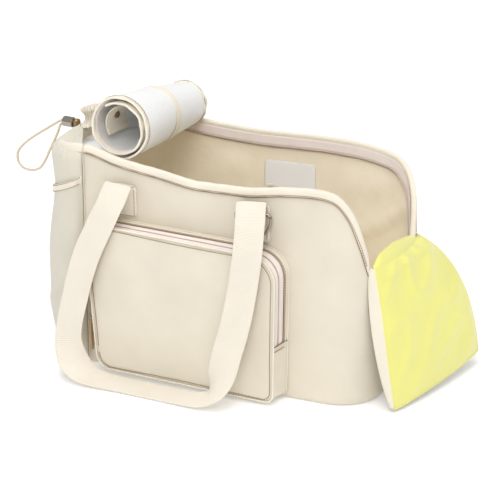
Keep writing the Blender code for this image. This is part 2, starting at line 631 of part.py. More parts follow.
def build_flap():
    """The fold-down end flap, hanging open: yellow lining outwards, padded shell behind it, and its two edges."""
    flap_sheet("flap_lining", 0.0, FLAP_LINING, "yellow")
    flap_sheet("flap_shell", FLAP_LINING + GAP, FLAP_LINING + GAP + FLAP_SHELL, "shell")
    for name, across, side in (("flap_gusset_front", 0.0, -1), ("flap_gusset_back", 1.0, 1)):
        rings = []
        for k in range(11):
            down = FLAP_START + (1 - FLAP_START) * k / 10
            edge = flap_point(across, down) + Vector((0, side * (4 * GAP), 0))
            depth = FLAP_LINING + FLAP_SHELL + (FLAP_GUSSET - FLAP_SHELL) * arch(k / 10, 0.7)
            thick = Vector((0, side * FLAP_LINING, 0))
            reach = Vector((-depth, 0, 0))
            rings.append([edge, edge + reach, edge + reach + thick, edge + thick])
        loft(name, rings, "shell_light", pivot=FLAP_HINGE)
    first, last = FRONT_DROP_END + 0.0015, back(BACK_DROP_END) - 0.0015
    places = stations(first, last)
    lower = [(s, SILL + GAP) for s in places]
    upper = []
    for s in places:
        share = (s - first) / (last - first)
        upper.append((s, SILL + 0.004 + FOLD_CROWN * arch(share ** 0.8, 0.7)))
    wall_strip("flap_fold", lower, upper, 0.0, -PANEL - GAP, "shell_light")


def roll_path(outer_offset=0.0, last_turn=1.0):
    """The rolled cover's sheet in side view: (x, z) from its seam at the rim to its inner end."""
    points = [Vector((ROLL_HINGE[0] + 0.002, ROLL_HINGE[2])), Vector((ROLL_HINGE[0] + 0.018, ROLL_HINGE[2] - 0.0006))]
    steps = round(ROLL_TURNS * last_turn * 20)
    for k in range(steps + 1):
        share = k / steps * last_turn
        turn = math.radians(-90) + share * ROLL_TURNS * 2 * math.pi
        radius = ROLL_OUTER + (ROLL_INNER - ROLL_OUTER) * share + outer_offset
        points.append(Vector((ROLL_CENTRE[0] + radius * math.cos(turn), ROLL_CENTRE[1] + radius * math.sin(turn))))
    return points


def roll_strip(name, path, middle_y, width, thickness, kind):
    centres = [Vector((p.x, middle_y, p.y)) for p in path]
    sides = [Vector((0, 1, 0))] * len(centres)
    loft(name, strap_rings(centres, sides, width, thickness), kind, pivot=ROLL_HINGE)


def build_cover():
    """The mesh cover, rolled up against the closed end, and its fixed part over that end."""
    path = roll_path()
    roll_strip("cover_roll", path, 0.0, 2 * ROLL_HALF_WIDTH, ROLL_SHEET, "mesh")
    edge = ROLL_HALF_WIDTH + GAP + ROLL_BINDING_WIDTH / 2
    roll_strip("cover_binding_front", path, -edge, ROLL_BINDING_WIDTH, ROLL_BINDING_SHEET, "shell_light")
    roll_strip("cover_binding_back", path, edge, ROLL_BINDING_WIDTH, ROLL_BINDING_SHEET, "shell_light")
    band_radius = ROLL_SHEET / 2 + GAP + BAND_SHEET / 2
    outer_turn = [p for p in roll_path(band_radius)[2:] if p.x > ROLL_CENTRE[0] - 0.045][:BAND_STEPS]
    roll_strip("cover_band", outer_turn, 0.0, BAND_WIDTH, BAND_SHEET, "shell_light")
    tab_path = []
    for k in range(9):
        turn = math.radians(TAB_FIRST + (TAB_LAST - TAB_FIRST) * k / 8)
        tab_path.append(Vector(ROLL_CENTRE) + TAB_RADIUS * Vector((math.cos(turn), math.sin(turn))))
    roll_strip("cover_tab", tab_path, TAB_Y, TAB_WIDTH, TAB_SHEET, "shell")
    middle = math.radians((TAB_FIRST + TAB_LAST) / 2)
    out = Vector((math.cos(middle), 0, math.sin(middle)))
    snap = Vector((ROLL_CENTRE[0], TAB_Y, ROLL_CENTRE[1])) + out * (TAB_RADIUS - TAB_SHEET / 2 - 4 * GAP)
    turned("cover_snap", snap, -out, SNAP_PROFILE, 16, "antique_metal", pivot=ROLL_HINGE)
    first, last = back(LEFT_SEAM + 0.0002), PERIMETER + LEFT_SEAM + 0.0002
    plan = [at_wall(s, 0.0, -COVER_BASE_INSET) for s in stations(first, last)]
    rings = [[(x, y, z) for x, y, _ in plan] for z in (COVER_BASE_Z, COVER_BASE_Z + ROLL_SHEET / 2)]
    loft("cover_base", rings, "mesh")
    for side, q in (("front", PERIMETER + PARKED_SLIDER), ("back", back(PARKED_SLIDER))):
        inner = -BINDING_IN - 2 * GAP - TAPE_SHEET
        places = [q - 0.005, q, q + 0.005]
        upper = [(s, rim(s) - 0.0085) for s in places]
        lower = [(s, rim(s) - 0.0165) for s in places]
        wall_strip(f"cover_slider_{side}", lower, upper, inner, inner - 0.0026, "metal")


def pouch_out(share, stand):
    """How far the pouch's outer face is from the wall at this share of its way round: thin at its seams."""
    return POUCH_BACK + 0.0007 + stand * arch(share, 0.45)


def slip_pocket_section(s, share, heights, skin):
    """An upright section of a layer that lies on the pouch."""
    stands = [pouch_out(share, through(POUCH_LEVELS, z)) + 2 * GAP for z in heights]
    outside = [at_wall(s, z, stand + skin) for z, stand in zip(heights, stands)]
    inside = [at_wall(s, z, stand) for z, stand in zip(heights, stands)]
    return outside + inside[::-1]


def build_closed_end():
    """The drawstring pouch on the closed end, the slip pocket over its lower part, and the hem of that pocket."""
    first, last = back(LEFT_SEAM - 0.0015), PERIMETER + LEFT_SEAM - 0.0015
    places = stations(first, last)
    shares = [(s - first) / (last - first) for s in places]
    rings = []
    for z, stand in POUCH_LEVELS:
        outer = [at_wall(s, z, pouch_out(t, stand)) for s, t in zip(places, shares)]
        inner = [at_wall(s, z, POUCH_BACK) for s in reversed(places)]
        rings.append(outer + inner)
    loft("drawstring_pouch", rings, "shell")

    def hem_top(share):
        return HEM_MIDDLE_Z + HEM_SIDE_RISE * (1 - arch(share, 0.8))

    body, hem = [], []
    for s, share in zip(places, shares):
        top = hem_top(share)
        heights = [z for z, _ in POUCH_LEVELS if z <= 0.2] + [top - HEM_HEIGHT - GAP]
        body.append(slip_pocket_section(s, share, heights, SLIP_POCKET_SKIN))
        hem.append(slip_pocket_section(s, share, [top - HEM_HEIGHT, top - HEM_HEIGHT / 2, top], HEM_SKIN))
    loft("end_pocket", body, "shell")
    loft("end_pocket_hem", hem, "shell_light")


def oval(centre, reach_x, reach_y, sides=16):
    return [
        Vector(centre) + Vector((reach_x * math.cos(2 * math.pi * k / sides), reach_y * math.sin(2 * math.pi * k / sides), 0))
        for k in range(sides)
    ]


def build_drawstring():
    """The gathered neck, the spring-loaded cord lock and the elastic cord's loop."""
    loft("gathered_neck", [oval(centre, x, y) for centre, x, y in NECK_SECTIONS], "shell_light")
    barrel = [(0.0, LOCK_RADIUS - 0.001), (0.001, LOCK_RADIUS), (LOCK_LENGTH - 0.001, LOCK_RADIUS)]
    barrel += [(LOCK_LENGTH, LOCK_RADIUS - 0.001), (LOCK_LENGTH, LOCK_BORE), (LOCK_FLOOR, LOCK_BORE)]
    turned("cord_lock_barrel", LOCK_LEFT, LOCK_AXIS, barrel, 20, "metal")
    stem = LOCK_BORE - GAP
    plunger = [(LOCK_LENGTH - PLUNGER_STEM, stem), (LOCK_LENGTH + PLUNGER_TRAVEL + 2 * GAP, stem)]
    head_start = LOCK_LENGTH + PLUNGER_TRAVEL + 2 * GAP
    plunger += [(head_start, LOCK_RADIUS - 0.0008), (head_start + PLUNGER_HEAD, LOCK_RADIUS - 0.0012)]
    turned("cord_lock_plunger", LOCK_LEFT, LOCK_AXIS, plunger, 20, "antique_metal")
    curve = bpy.data.curves.new("drawcord", "CURVE")
    curve.dimensions = "3D"
    curve.bevel_depth = CORD_RADIUS
    curve.bevel_resolution = 2
    curve.use_fill_caps = True
    points = smooth_points(CORD_ROUTE, 3)
    spline = curve.splines.new("POLY")
    spline.points.add(len(points) - 1)
    for slot, point in zip(spline.points, points):
        slot.co = (*point, 1.0)
    curve.materials.append(material("cord"))
    bpy.context.scene.collection.objects.link(bpy.data.objects.new("drawcord", curve))


def build_inside_fittings():
    """The care label and the safety-tether ring on the inside of the back wall."""
    wall = WIDTH / 2 - PANEL - LINING - 2 * GAP
    label = box_rings((LABEL_X, wall - 0.0003, LABEL_Z), (1, 0, 0), (0, 0, 1), (0, 1, 0), (LABEL_WIDTH, LABEL_HEIGHT, 0.0006))
    loft("care_label", label, "label")
    tab = box_rings((TETHER_X, wall - 0.0018, TETHER_Z), (0, 0, 1), (1, 0, 0), (0, 1, 0), (0.022, 0.018, 0.0014))
    loft("tether_tab", tab, "webbing")
    bar = Vector((TETHER_X, wall - 0.0052, TETHER_Z + 0.006))
    wire = []
    for k in range(20):
        turn = 2 * math.pi * k / 20
        wire.append(bar + Vector((TETHER_RADIUS * math.cos(turn), 0, TETHER_RADIUS * (math.sin(turn) - 1))))
    tube_loop("tether_ring", wire, 0.0015, 8, "metal", bar, (0, 1, 0))


def main():
    clear_scene()
    build_tub()
    build_rim()
    build_pocket()
    build_pocket_slider()
    build_handles()
    build_strap_rings()
    build_flap()
    build_cover()
    build_closed_end()
    build_drawstring()
    build_inside_fittings()


main()
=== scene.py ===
"""The soft pet carrier bag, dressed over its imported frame: fabric, webbing, zips, stitching, mesh and metal.

Metres, in the frame of the CAD: +X runs to the end with the fold-down flap, the front wall faces -Y, +Z is up.
"""

import math

import bmesh
import bpy
from mathutils import Matrix, Vector, noise


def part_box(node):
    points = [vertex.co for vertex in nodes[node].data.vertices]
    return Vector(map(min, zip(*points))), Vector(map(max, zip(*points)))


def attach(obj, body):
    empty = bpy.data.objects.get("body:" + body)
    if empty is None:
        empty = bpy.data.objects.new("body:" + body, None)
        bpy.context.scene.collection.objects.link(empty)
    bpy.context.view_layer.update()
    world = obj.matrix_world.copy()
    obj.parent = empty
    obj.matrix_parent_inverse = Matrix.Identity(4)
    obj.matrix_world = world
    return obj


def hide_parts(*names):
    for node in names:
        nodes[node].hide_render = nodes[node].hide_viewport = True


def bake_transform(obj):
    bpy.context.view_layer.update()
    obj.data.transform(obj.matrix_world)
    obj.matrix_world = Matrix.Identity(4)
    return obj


# Sizes repeated from the CAD
LENGTH, WIDTH, CORNER_RADIUS = 0.434, 0.208, 0.057
BINDING_HEIGHT, BINDING_OUT, BINDING_IN, SILL = 0.010, 0.0012, 0.0064, 0.168
HALF_STRAIGHT = LENGTH / 2 - CORNER_RADIUS
HALF_END = WIDTH / 2 - CORNER_RADIUS
CORNER_ARC = CORNER_RADIUS * math.pi / 2
PERIMETER = 4 * (HALF_STRAIGHT + HALF_END + CORNER_ARC)
END_MIDDLE = HALF_STRAIGHT + CORNER_ARC + HALF_END
FRONT_RIM = (
    (-END_MIDDLE, 0.2805), (-0.215, 0.283), (-0.161, 0.289), (-0.111, 0.277), (-0.054, 0.268),
    (0.000, 0.260), (0.055, 0.260), (0.105, 0.266), (0.145, 0.2685), (0.172, 0.2645), (0.188, 0.250),
    (0.2006, 0.227), (0.2107, 0.197), (0.2165, 0.182), (0.226, 0.171), (0.240, SILL), (END_MIDDLE, SILL),
)
BACK_RIM = (
    (-END_MIDDLE, 0.2805), (-0.215, 0.283), (-0.161, 0.289), (-0.120, 0.284), (-0.070, 0.279),
    (0.000, 0.2755), (0.063, 0.276), (0.126, 0.273), (0.162, 0.2665), (0.186, 0.258), (0.2063, 0.2423),
    (0.220, 0.225), (0.2315, 0.203), (0.240, 0.184), (0.248, 0.172), (0.258, SILL), (END_MIDDLE, SILL),
)
LEFT_SEAM, FRONT_DROP_END, BACK_DROP_END = -0.160, 0.2155, 0.2465
WEB_WIDTH, WEB_THICKNESS = 0.038, 0.0022
HANDLE_LEFT_X, HANDLE_RIGHT_X, BASE_TOP = -0.1055, 0.0715, 0.2465
HANDLE_KNOTS = (
    ((-0.1055, -0.1150, 0.2480), (1.0, 0.0, 0.0)), ((-0.1062, -0.1195, 0.2440), (1.0, 0.0, 0.0)),
    ((-0.1084, -0.1270, 0.2321), (1.0, 0.0, 0.0)), ((-0.1136, -0.1335, 0.2168), (1.0, -0.1, 0.0)),
    ((-0.1258, -0.1380, 0.1897), (1.0, -0.1, 0.0)), ((-0.1379, -0.1405, 0.1629), (1.0, -0.1, 0.0)),
    ((-0.1477, -0.1425, 0.1333), (1.0, -0.1, 0.0)), ((-0.1563, -0.1445, 0.0998), (1.0, -0.1, 0.0)),
    ((-0.1620, -0.1470, 0.0729), (1.0, -0.1, 0.0)), ((-0.1632, -0.1505, 0.0480), (1.0, 0.0, 0.0)),
    ((-0.1550, -0.1560, 0.0265), (0.9, 0.4, 0.0)), ((-0.1370, -0.1600, 0.0125), (0.5, 0.85, 0.1)),
    ((-0.1150, -0.1590, 0.0062), (0.1, 1.0, 0.1)), ((-0.0850, -0.1570, 0.0038), (0.0, 1.0, 0.05)),
    ((-0.0560, -0.1575, 0.0032), (0.0, 1.0, 0.05)), ((-0.0270, -0.1585, 0.0032), (0.0, 1.0, 0.05)),
    ((0.0060, -0.1610, 0.0040), (0.0, 1.0, 0.05)), ((0.0320, -0.1635, 0.0098), (-0.3, 0.95, 0.1)),
    ((0.0450, -0.1620, 0.0240), (-0.8, 0.5, 0.0)), ((0.0522, -0.1590, 0.0431), (-1.0, 0.1, 0.0)),
    ((0.0570, -0.1555, 0.0669), (-1.0, 0.0, 0.0)), ((0.0620, -0.1520, 0.0872), (-1.0, 0.0, 0.0)),
    ((0.0675, -0.1485, 0.1136), (-1.0, 0.0, 0.0)), ((0.0716, -0.1455, 0.1405), (-1.0, 0.0, 0.0)),
    ((0.0750, -0.1430, 0.1669), (-1.0, 0.0, 0.0)), ((0.0770, -0.1395, 0.1929), (-1.0, 0.0, 0.0)),
    ((0.0764, -0.1325, 0.2192), (-1.0, 0.0, 0.0)), ((0.0740, -0.1245, 0.2345), (-1.0, 0.0, 0.0)),
    ((0.0722, -0.1190, 0.2435), (-1.0, 0.0, 0.0)), ((0.0715, -0.1150, 0.2480), (-1.0, 0.0, 0.0)),
)
RING_BAR = (HANDLE_RIGHT_X, -0.1103, 0.2325)
WALL_GAP = 0.0003
POCKET_DEPTH = 0.0300
POCKET_MIDDLE = Vector((-0.015, 0.098))
POCKET_FACE_CORNERS = ((-0.132, 0.011), (0.107, 0.0045), (0.109, 0.186), (-0.146, 0.1985))
POCKET_WALL_CORNERS = ((-0.139, 0.0048), (0.113, 0.0045), (0.1155, 0.191), (-0.152, 0.2005))
POCKET_RADII = (0.020, 0.010, 0.032, 0.032)
FLAP_NEAR = ((0.2120, -0.0790, 0.1745), (0.2230, -0.0820, 0.1450), (0.2340, -0.0870, 0.0650), (0.2460, -0.0890, 0.0050))
FLAP_FAR = ((0.2120, 0.0760, 0.1700), (0.2560, 0.0765, 0.1560), (0.2850, 0.0900, 0.1050), (0.2915, 0.0990, 0.0180))
FLAP_BULGE = 0.0115
FOLD_RIDGE = ((-0.079, 0.1745), (-0.062, 0.1855), (-0.020, 0.1867), (0.010, 0.1834), (0.050, 0.1757), (0.076, 0.1700))
ROLL_CENTRE, ROLL_OUTER, ROLL_INNER, ROLL_TURNS, ROLL_HALF_WIDTH = (-0.1155, 0.3125), 0.0400, 0.0300, 1.6, 0.0880
ROLL_HINGE = (-0.1590, 0.0, 0.2735)
POUCH_LEVELS = (
    (0.0060, 0.0045), (0.0200, 0.0105), (0.0400, 0.0150), (0.0800, 0.0190), (0.1300, 0.0190),
    (0.1700, 0.0145), (0.2000, 0.0088), (0.2130, 0.0078), (0.2400, 0.0100), (0.2650, 0.0108),
    (0.2750, 0.0090), (0.2800, 0.0050),
)
POUCH_BACK = BINDING_OUT + 0.0003
HEM_HEIGHT, HEM_MIDDLE_Z, HEM_SIDE_RISE = 0.010, 0.213, 0.037
CORD_RADIUS = 0.0017
CORD_ROUTE = (
    (-0.2380, -0.0172, 0.2927), (-0.2457, -0.0180, 0.2889), (-0.2604, -0.0190, 0.2798),
    (-0.2753, -0.0197, 0.2704), (-0.2904, -0.0203, 0.2603), (-0.3016, -0.0207, 0.2504),
    (-0.3074, -0.0209, 0.2428), (-0.3087, -0.0211, 0.2357), (-0.3068, -0.0213, 0.2275),
    (-0.2992, -0.0215, 0.2211), (-0.2876, -0.0216, 0.2197), (-0.2777, -0.0217, 0.2224),
    (-0.2710, -0.0218, 0.2281), (-0.2650, -0.0219, 0.2370), (-0.2598, -0.0221, 0.2470),
    (-0.2540, -0.0223, 0.2580), (-0.2480, -0.0225, 0.2690), (-0.2430, -0.0227, 0.2795),
    (-0.2410, -0.0229, 0.2850), (-0.2383, -0.0229, 0.2884),
)

# Sizes of the dressing alone
ONE_WAVE = math.pi / 10  # the Scale at which a wave texture has one wave in a metre
STITCH_PITCH, STITCH_LENGTH = 0.0034, 0.0028
FLOOR_GAP = 0.0006
RIM_SPACING = 0.004
POCKET_SPACING, POCKET_SEAM_IN = 0.006, 0.0045
TAB_MIDDLE = Vector((-0.1380, -0.058, 0.3165))
BASE_NET_EDGE_X = -0.1600
NECK_MIDDLE = Vector((-0.1975, -0.012, 0.2925))
GATHERS, NECK_FOLDS = 58, 17
LIGHTS = (("key", (0.8, -2.2, 2.2), 1.2, 26), ("fill", (-2.4, -1.6, 1.7), 2.4, 2), ("top", (0.1, -0.5, 3.0), 1.6, 38))
LIT_POINT = Vector((0, 0, 0.15))
WORLD_LIGHT = 0.57
CAMERA_PLACE, CAMERA_TURN, CAMERA_DIP, CAMERA_LENS = (0.8009, -1.7314, 0.7956), 24.35, 18.90, 114.32

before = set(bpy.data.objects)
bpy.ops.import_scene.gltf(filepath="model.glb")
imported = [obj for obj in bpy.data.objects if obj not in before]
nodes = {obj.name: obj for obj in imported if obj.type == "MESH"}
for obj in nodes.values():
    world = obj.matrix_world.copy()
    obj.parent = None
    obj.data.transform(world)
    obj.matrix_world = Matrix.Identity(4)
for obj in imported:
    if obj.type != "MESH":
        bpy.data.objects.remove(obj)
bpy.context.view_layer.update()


# ---- materials ----

def node(tree, kind, **values):
    """A node of that kind. Settings go by attribute name, socket values by socket name with _ for a space."""
    made = tree.nodes.new(kind)
    for key, value in values.items():
        if hasattr(made, key):
            setattr(made, key, value)
        else:
            made.inputs[key.replace("_", " ")].default_value = value
    return made


def shader(name, colour, roughness, metallic=0.0, sheen=0.0):
    """A new material of one colour, with its node tree, its main node and its coordinates."""
    made = bpy.data.materials.new(name)
    made.use_nodes = True
    tree = made.node_tree
    main = tree.nodes["Principled BSDF"]
    main.inputs["Base Color"].default_value = (*colour, 1.0)
    for socket, value in (("Roughness", roughness), ("Metallic", metallic), ("Sheen Weight", sheen)):
        main.inputs[socket].default_value = value
    return made, tree, main, node(tree, "ShaderNodeTexCoord").outputs


def pattern(tree, kind, vector, **values):
    """The height of a noise or wave texture placed by vector."""
    made = node(tree, kind, **values)
    tree.links.new(vector, made.inputs["Vector"])
    return made.outputs["Fac"]


def ramp(tree, height, colours, ends=(0.0, 1.0)):
    """The first colour where height is at the first end, the second colour at the second end."""
    made = node(tree, "ShaderNodeValToRGB")
    for element, colour, end in zip(made.color_ramp.elements, colours, ends):
        element.color, element.position = (*colour, 1), end
    tree.links.new(height, made.inputs["Fac"])
    return made.outputs["Color"]


def relief(tree, onto, height, strength, depth, invert=False):
    """Bumps from height, linked to the Normal of the node onto."""
    made = node(tree, "ShaderNodeBump", Strength=strength, Distance=depth, invert=invert)
    tree.links.new(height, made.inputs["Height"])
    tree.links.new(made.outputs["Normal"], onto.inputs["Normal"])
    return made


def mottled(tree, main, at, colour, amount, scale):
    """Soft variation of the base colour, as dyed cloth has."""
    patches = pattern(tree, "ShaderNodeTexNoise", at["Object"], Scale=scale, Detail=4.0)
    dark, light = [c * (1 - amount) for c in colour], [min(c * (1 + amount * 0.5), 1) for c in colour]
    dyed = ramp(tree, patches, (dark, light), (0.3, 0.7))
    tree.links.new(dyed, main.inputs["Base Color"])
    return dyed


def threads(tree, at, period_u, period_v):
    """The height of a plain weave with these thread spacings in metres, then the heights of its two sets of threads."""
    sets = [pattern(tree, "ShaderNodeTexWave", at["UV"], bands_direction=way, Scale=ONE_WAVE / period, Distortion=0.6,
                    Detail=1.0) for way, period in (("X", period_u), ("Y", period_v))]
    weave = node(tree, "ShaderNodeMath", operation="MULTIPLY")
    for height, socket in zip(sets, weave.inputs):
        tree.links.new(height, socket)
    return weave.outputs[0], sets


def fabric(name, colour, roughness=0.85, period=(0.0007, 0.0007), depth=0.00012, tint=0.05, sheen=0.15, crease=0.0):
    """Plain-woven cloth. crease is the depth of its soft rumples."""
    made, tree, main, at = shader(name, colour, roughness, sheen=sheen)
    mottled(tree, main, at, colour, tint, 18.0)
    weave = relief(tree, main, threads(tree, at, *period)[0], 0.5, depth)
    if crease:
        rumples = pattern(tree, "ShaderNodeTexNoise", at["Object"], Scale=55.0, Detail=3.0, Roughness=0.45)
        relief(tree, weave, rumples, 0.5, crease)
    return made


def ribbed(name, colour):
    """Heavy webbing: ribs across it, thinner warp lines along it, with painted shade darkening the colour between the
    threads.
    """
    made, tree, main, at = shader(name, colour, 0.9, sheen=0.2)
    dyed = mottled(tree, main, at, colour, 0.04, 25.0)
    _, (along, across) = threads(tree, at, 0.0011, 0.0016)
    both = node(tree, "ShaderNodeMath", operation="MULTIPLY_ADD")
    both.inputs[1].default_value = 0.5
    tree.links.new(along, both.inputs[0])
    tree.links.new(across, both.inputs[2])
    # Painted shade: the colour is darkened where the weave is low, between the ribs
    shade = node(tree, "ShaderNodeMix", data_type="RGBA", blend_type="MULTIPLY")
    shade.inputs[0].default_value = 1.0
    tree.links.new(dyed, shade.inputs[6])
    tree.links.new(ramp(tree, both.outputs[0], ((0.80, 0.76, 0.70), (1, 1, 1)), (0.0, 0.6)), shade.inputs[7])
    tree.links.new(shade.outputs[2], main.inputs["Base Color"])
    relief(tree, main, both.outputs[0], 0.6, 0.00022)
    return made


def netting(name, colour, hole_shade, period=0.0024):
    """Net: light threads round small holes painted darker as shade."""
    made, tree, main, at = shader(name, colour, 0.6, sheen=0.1)
    height, _ = threads(tree, at, period, period)
    tree.links.new(ramp(tree, height, (colour, hole_shade), (0.25, 0.75)), main.inputs["Base Color"])
    relief(tree, main, height, 0.6, 0.0003, invert=True)
    return made


def toothed(name, colour, groove_shade, period):
    """Zip teeth: a repeating ridge along the piece, painted darker between the ridges as shade."""
    made, tree, main, at = shader(name, colour, 0.5)
    ridges = pattern(tree, "ShaderNodeTexWave", at["UV"], bands_direction="Y", Scale=ONE_WAVE / period)
    tree.links.new(ramp(tree, ridges, (groove_shade, colour)), main.inputs["Base Color"])
    relief(tree, main, ridges, 0.8, 0.0004)
    return made


def grained(name, colour, roughness, metallic, scale, depth, tint):
    """Leather, cast or plated metal, board and thread: a fine grain in height and a little in colour."""
    made, tree, main, at = shader(name, colour, roughness, metallic)
    mottled(tree, main, at, colour, tint, scale / 4)
    relief(tree, main, pattern(tree, "ShaderNodeTexNoise", at["Object"], Scale=scale, Detail=3.0), 0.4, depth)
    return made


SHELL = fabric("shell_cloth", (0.745, 0.685, 0.565), crease=0.0008)
# Painted shade: the pouch is the shell's own fabric, made darker because the closed end faces away from the light
SHELL_PAINTED_SHADE = fabric("pouch_cloth_painted_shade", (0.68, 0.64, 0.54), crease=0.0014)
TRIM = fabric("trim_cloth", (0.84, 0.775, 0.655), period=(0.0009, 0.0006), depth=0.0002)
LINING = fabric("lining_cloth", (0.96, 0.87, 0.70), roughness=0.5, period=(0.0005, 0.0005), depth=0.00005,
                crease=0.0022)
YELLOW = fabric("flap_cloth", (0.83, 0.80, 0.225), roughness=0.42, period=(0.0005, 0.0005), depth=0.00004, tint=0.03,
                sheen=0.3, crease=0.0012)
WEBBING = ribbed("webbing", (0.83, 0.77, 0.665))
# The second colour is painted shade in the net's holes
NET = netting("net", (0.90, 0.90, 0.89), (0.70, 0.69, 0.67))
TAPE = fabric("zip_tape", (0.85, 0.75, 0.70), period=(0.0008, 0.0012), depth=0.0002)
# The second colour is painted shade in the grooves between the teeth
TEETH = toothed("zip_teeth", (0.80, 0.69, 0.64), (0.46, 0.35, 0.30), 0.0013)
# Stitching thread, its brown made darker to paint the shade in the stitched grooves; it also colours the painted shadow
# under the rim binding
THREAD_AND_SEAM_SHADE = grained("stitching", (0.30, 0.19, 0.10), 0.7, 0.0, 3000, 0.00005, 0.1)
CREAM_THREAD = grained("cream_stitching", (0.72, 0.64, 0.50), 0.7, 0.0, 3000, 0.00005, 0.1)
CORD = fabric("drawcord_braid", (0.72, 0.63, 0.47), period=(0.0012, 0.0010), depth=0.0003)
NICKEL = grained("nickel", (0.36, 0.33, 0.28), 0.26, 1.0, 900, 0.00003, 0.05)
BRASS = grained("antique_brass", (0.34, 0.23, 0.12), 0.35, 1.0, 700, 0.00005, 0.25)
LEATHER = grained("tan_leather", (0.50, 0.35, 0.19), 0.55, 0.0, 1600, 0.0001, 0.12)
BOARD = grained("base_board", (0.10, 0.10, 0.10), 0.7, 0.0, 900, 0.0001, 0.1)
LABEL = fabric("label_satin", (0.90, 0.90, 0.90), roughness=0.5, period=(0.0004, 0.0004), depth=0.00003, tint=0.01)
SLOTS = {
    SHELL: "shell_fabric", SHELL_PAINTED_SHADE: "shell_fabric", TRIM: "trim_fabric", LINING: "lining_fabric", YELLOW: "flap_fabric",
    WEBBING: "webbing", NET: "mesh_fabric", TAPE: "zip_fabric", TEETH: "zip_fabric", NICKEL: "nickel",
    LABEL: "label_fabric",
}


# ---- shapes ----

def in_scene(name, data):
    """A new object with that data, in the scene."""
    made = bpy.data.objects.new(name, data)
    bpy.context.scene.collection.objects.link(made)
    return made


def around(count):
    """Angles once round, in equal steps."""
    return [2 * math.pi * k / count for k in range(count)]


def steps(first, last, count):
    """count + 1 values in equal steps from first to last."""
    return [first + (last - first) * k / count for k in range(count + 1)]


def lengths_along(points, loop=False):
    """The distance of each point from the first, along them."""
    found = [0.0]
    for one, other in zip(points, points[1:] + points[:1] if loop else points[1:]):
        found.append(found[-1] + (other - one).length)
    return found


def grid(name, rows, finish, body="tub", loop_u=False, loop_v=False, caps=False, thick=0.0, levels=1, flip=False,
         stands_for=(), slot=None, weld=False, flat_uv=None):
    """A surface through rows of points. Its UVs hold metres along it: U along each row, V from row to row."""
    rows = [[Vector(point) for point in row] for row in rows]
    across, count = len(rows[0]), len(rows)
    us = lengths_along(rows[count // 2], loop_u)
    vs = lengths_along([row[across // 2] for row in rows], loop_v)
    faces, corners = [], []
    for j in range(count if loop_v else count - 1):
        for i in range(across if loop_u else across - 1):
            square = [(i, j), (i + 1, j), (i + 1, j + 1), (i, j + 1)]
            square = square[::-1] if flip else square
            faces.append([(b % count) * across + a % across for a, b in square])
            corners += [(us[a], vs[b]) for a, b in square]
    if caps:
        for j in (0, count - 1):
            ends = list(range(j * across, (j + 1) * across))
            faces.append(ends[::-1] if (j == 0) != flip else ends)
            corners += [(us[k], vs[j]) for k in range(across)]
    mesh = bpy.data.meshes.new(name)
    mesh.from_pydata([tuple(p) for row in rows for p in row], [], faces)
    layer = mesh.uv_layers.new(name="metres")
    for place, corner, at in zip(layer.data, corners, mesh.loops):
        place.uv = flat_uv(mesh.vertices[at.vertex_index].co) if flat_uv else corner
    if weld:
        shape = bmesh.new()
        shape.from_mesh(mesh)
        bmesh.ops.remove_doubles(shape, verts=shape.verts, dist=1e-6)
        shape.to_mesh(mesh)
        shape.free()
    return add_piece(name, mesh, finish, body, thick, levels, stands_for, slot)


def add_piece(name, mesh, finish, body, thick=0.0, levels=0, stands_for=(), slot=None):
    """The mesh as a piece of the model: its material, thickness, CAD nodes and body."""
    mesh.materials.append(finish)
    mesh.shade_smooth()
    obj = in_scene(name, mesh)
    if thick:
        solid = obj.modifiers.new("thickness", "SOLIDIFY")
        solid.thickness = thick
        solid.offset = -1
    if levels:
        soft = obj.modifiers.new("smooth", "SUBSURF")
        soft.levels = soft.render_levels = levels
    if stands_for:
        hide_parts(*stands_for)
    slot = slot or SLOTS.get(finish)
    if body:
        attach(obj, body)
    return obj


def tube(name, path, radius, finish, body="tub", sides=8, loop=False, stands_for=()):
    """A round tube along a path."""
    rows = []
    side = None
    for k, point in enumerate(path):
        before = path[k - 1] if k or loop else point
        after = path[(k + 1) % len(path)] if k < len(path) - 1 or loop else point
        way = (after - before).normalized()
        side = (side - way * side.dot(way)).normalized() if side else way.orthogonal().normalized()
        other = way.cross(side)
        rows.append([point + (side * math.cos(a) + other * math.sin(a)) * radius for a in around(sides)])
    return grid(name, rows, finish, body, loop_u=True, loop_v=loop, caps=not loop, stands_for=stands_for, levels=0)


def strap(name, centres, sides, width, thickness, finish, body="tub", stands_for=()):
    """A flat strap with rounded edges through centres, whose width follows sides."""
    shares = (-1.0, -0.92, -0.6, -0.2, 0.2, 0.6, 0.92, 1.0)
    top = [(share * width / 2, (0.35 if abs(share) == 1 else 1.0) * thickness / 2) for share in shares]
    outline = top + [(x, -h) for x, h in reversed(top)]
    rows = []
    for k, centre in enumerate(centres):
        way = (centres[min(k + 1, len(centres) - 1)] - centres[max(k - 1, 0)]).normalized()
        side = (sides[k] - way * sides[k].dot(way)).normalized()
        face = way.cross(side).normalized()
        rows.append([centre + side * x + face * h for x, h in outline])
    return grid(name, rows, finish, body, loop_u=True, caps=True, stands_for=stands_for)


def resample(path, spacing):
    """Places an even distance apart along a path."""
    distances = lengths_along(path)
    found, k = [], 0
    for n in range(int(distances[-1] / spacing) + 1):
        at = n * spacing
        while k < len(path) - 2 and distances[k + 1] < at:
            k += 1
        span = max(distances[k + 1] - distances[k], 1e-9)
        found.append(path[k].lerp(path[k + 1], (at - distances[k]) / span))
    return found


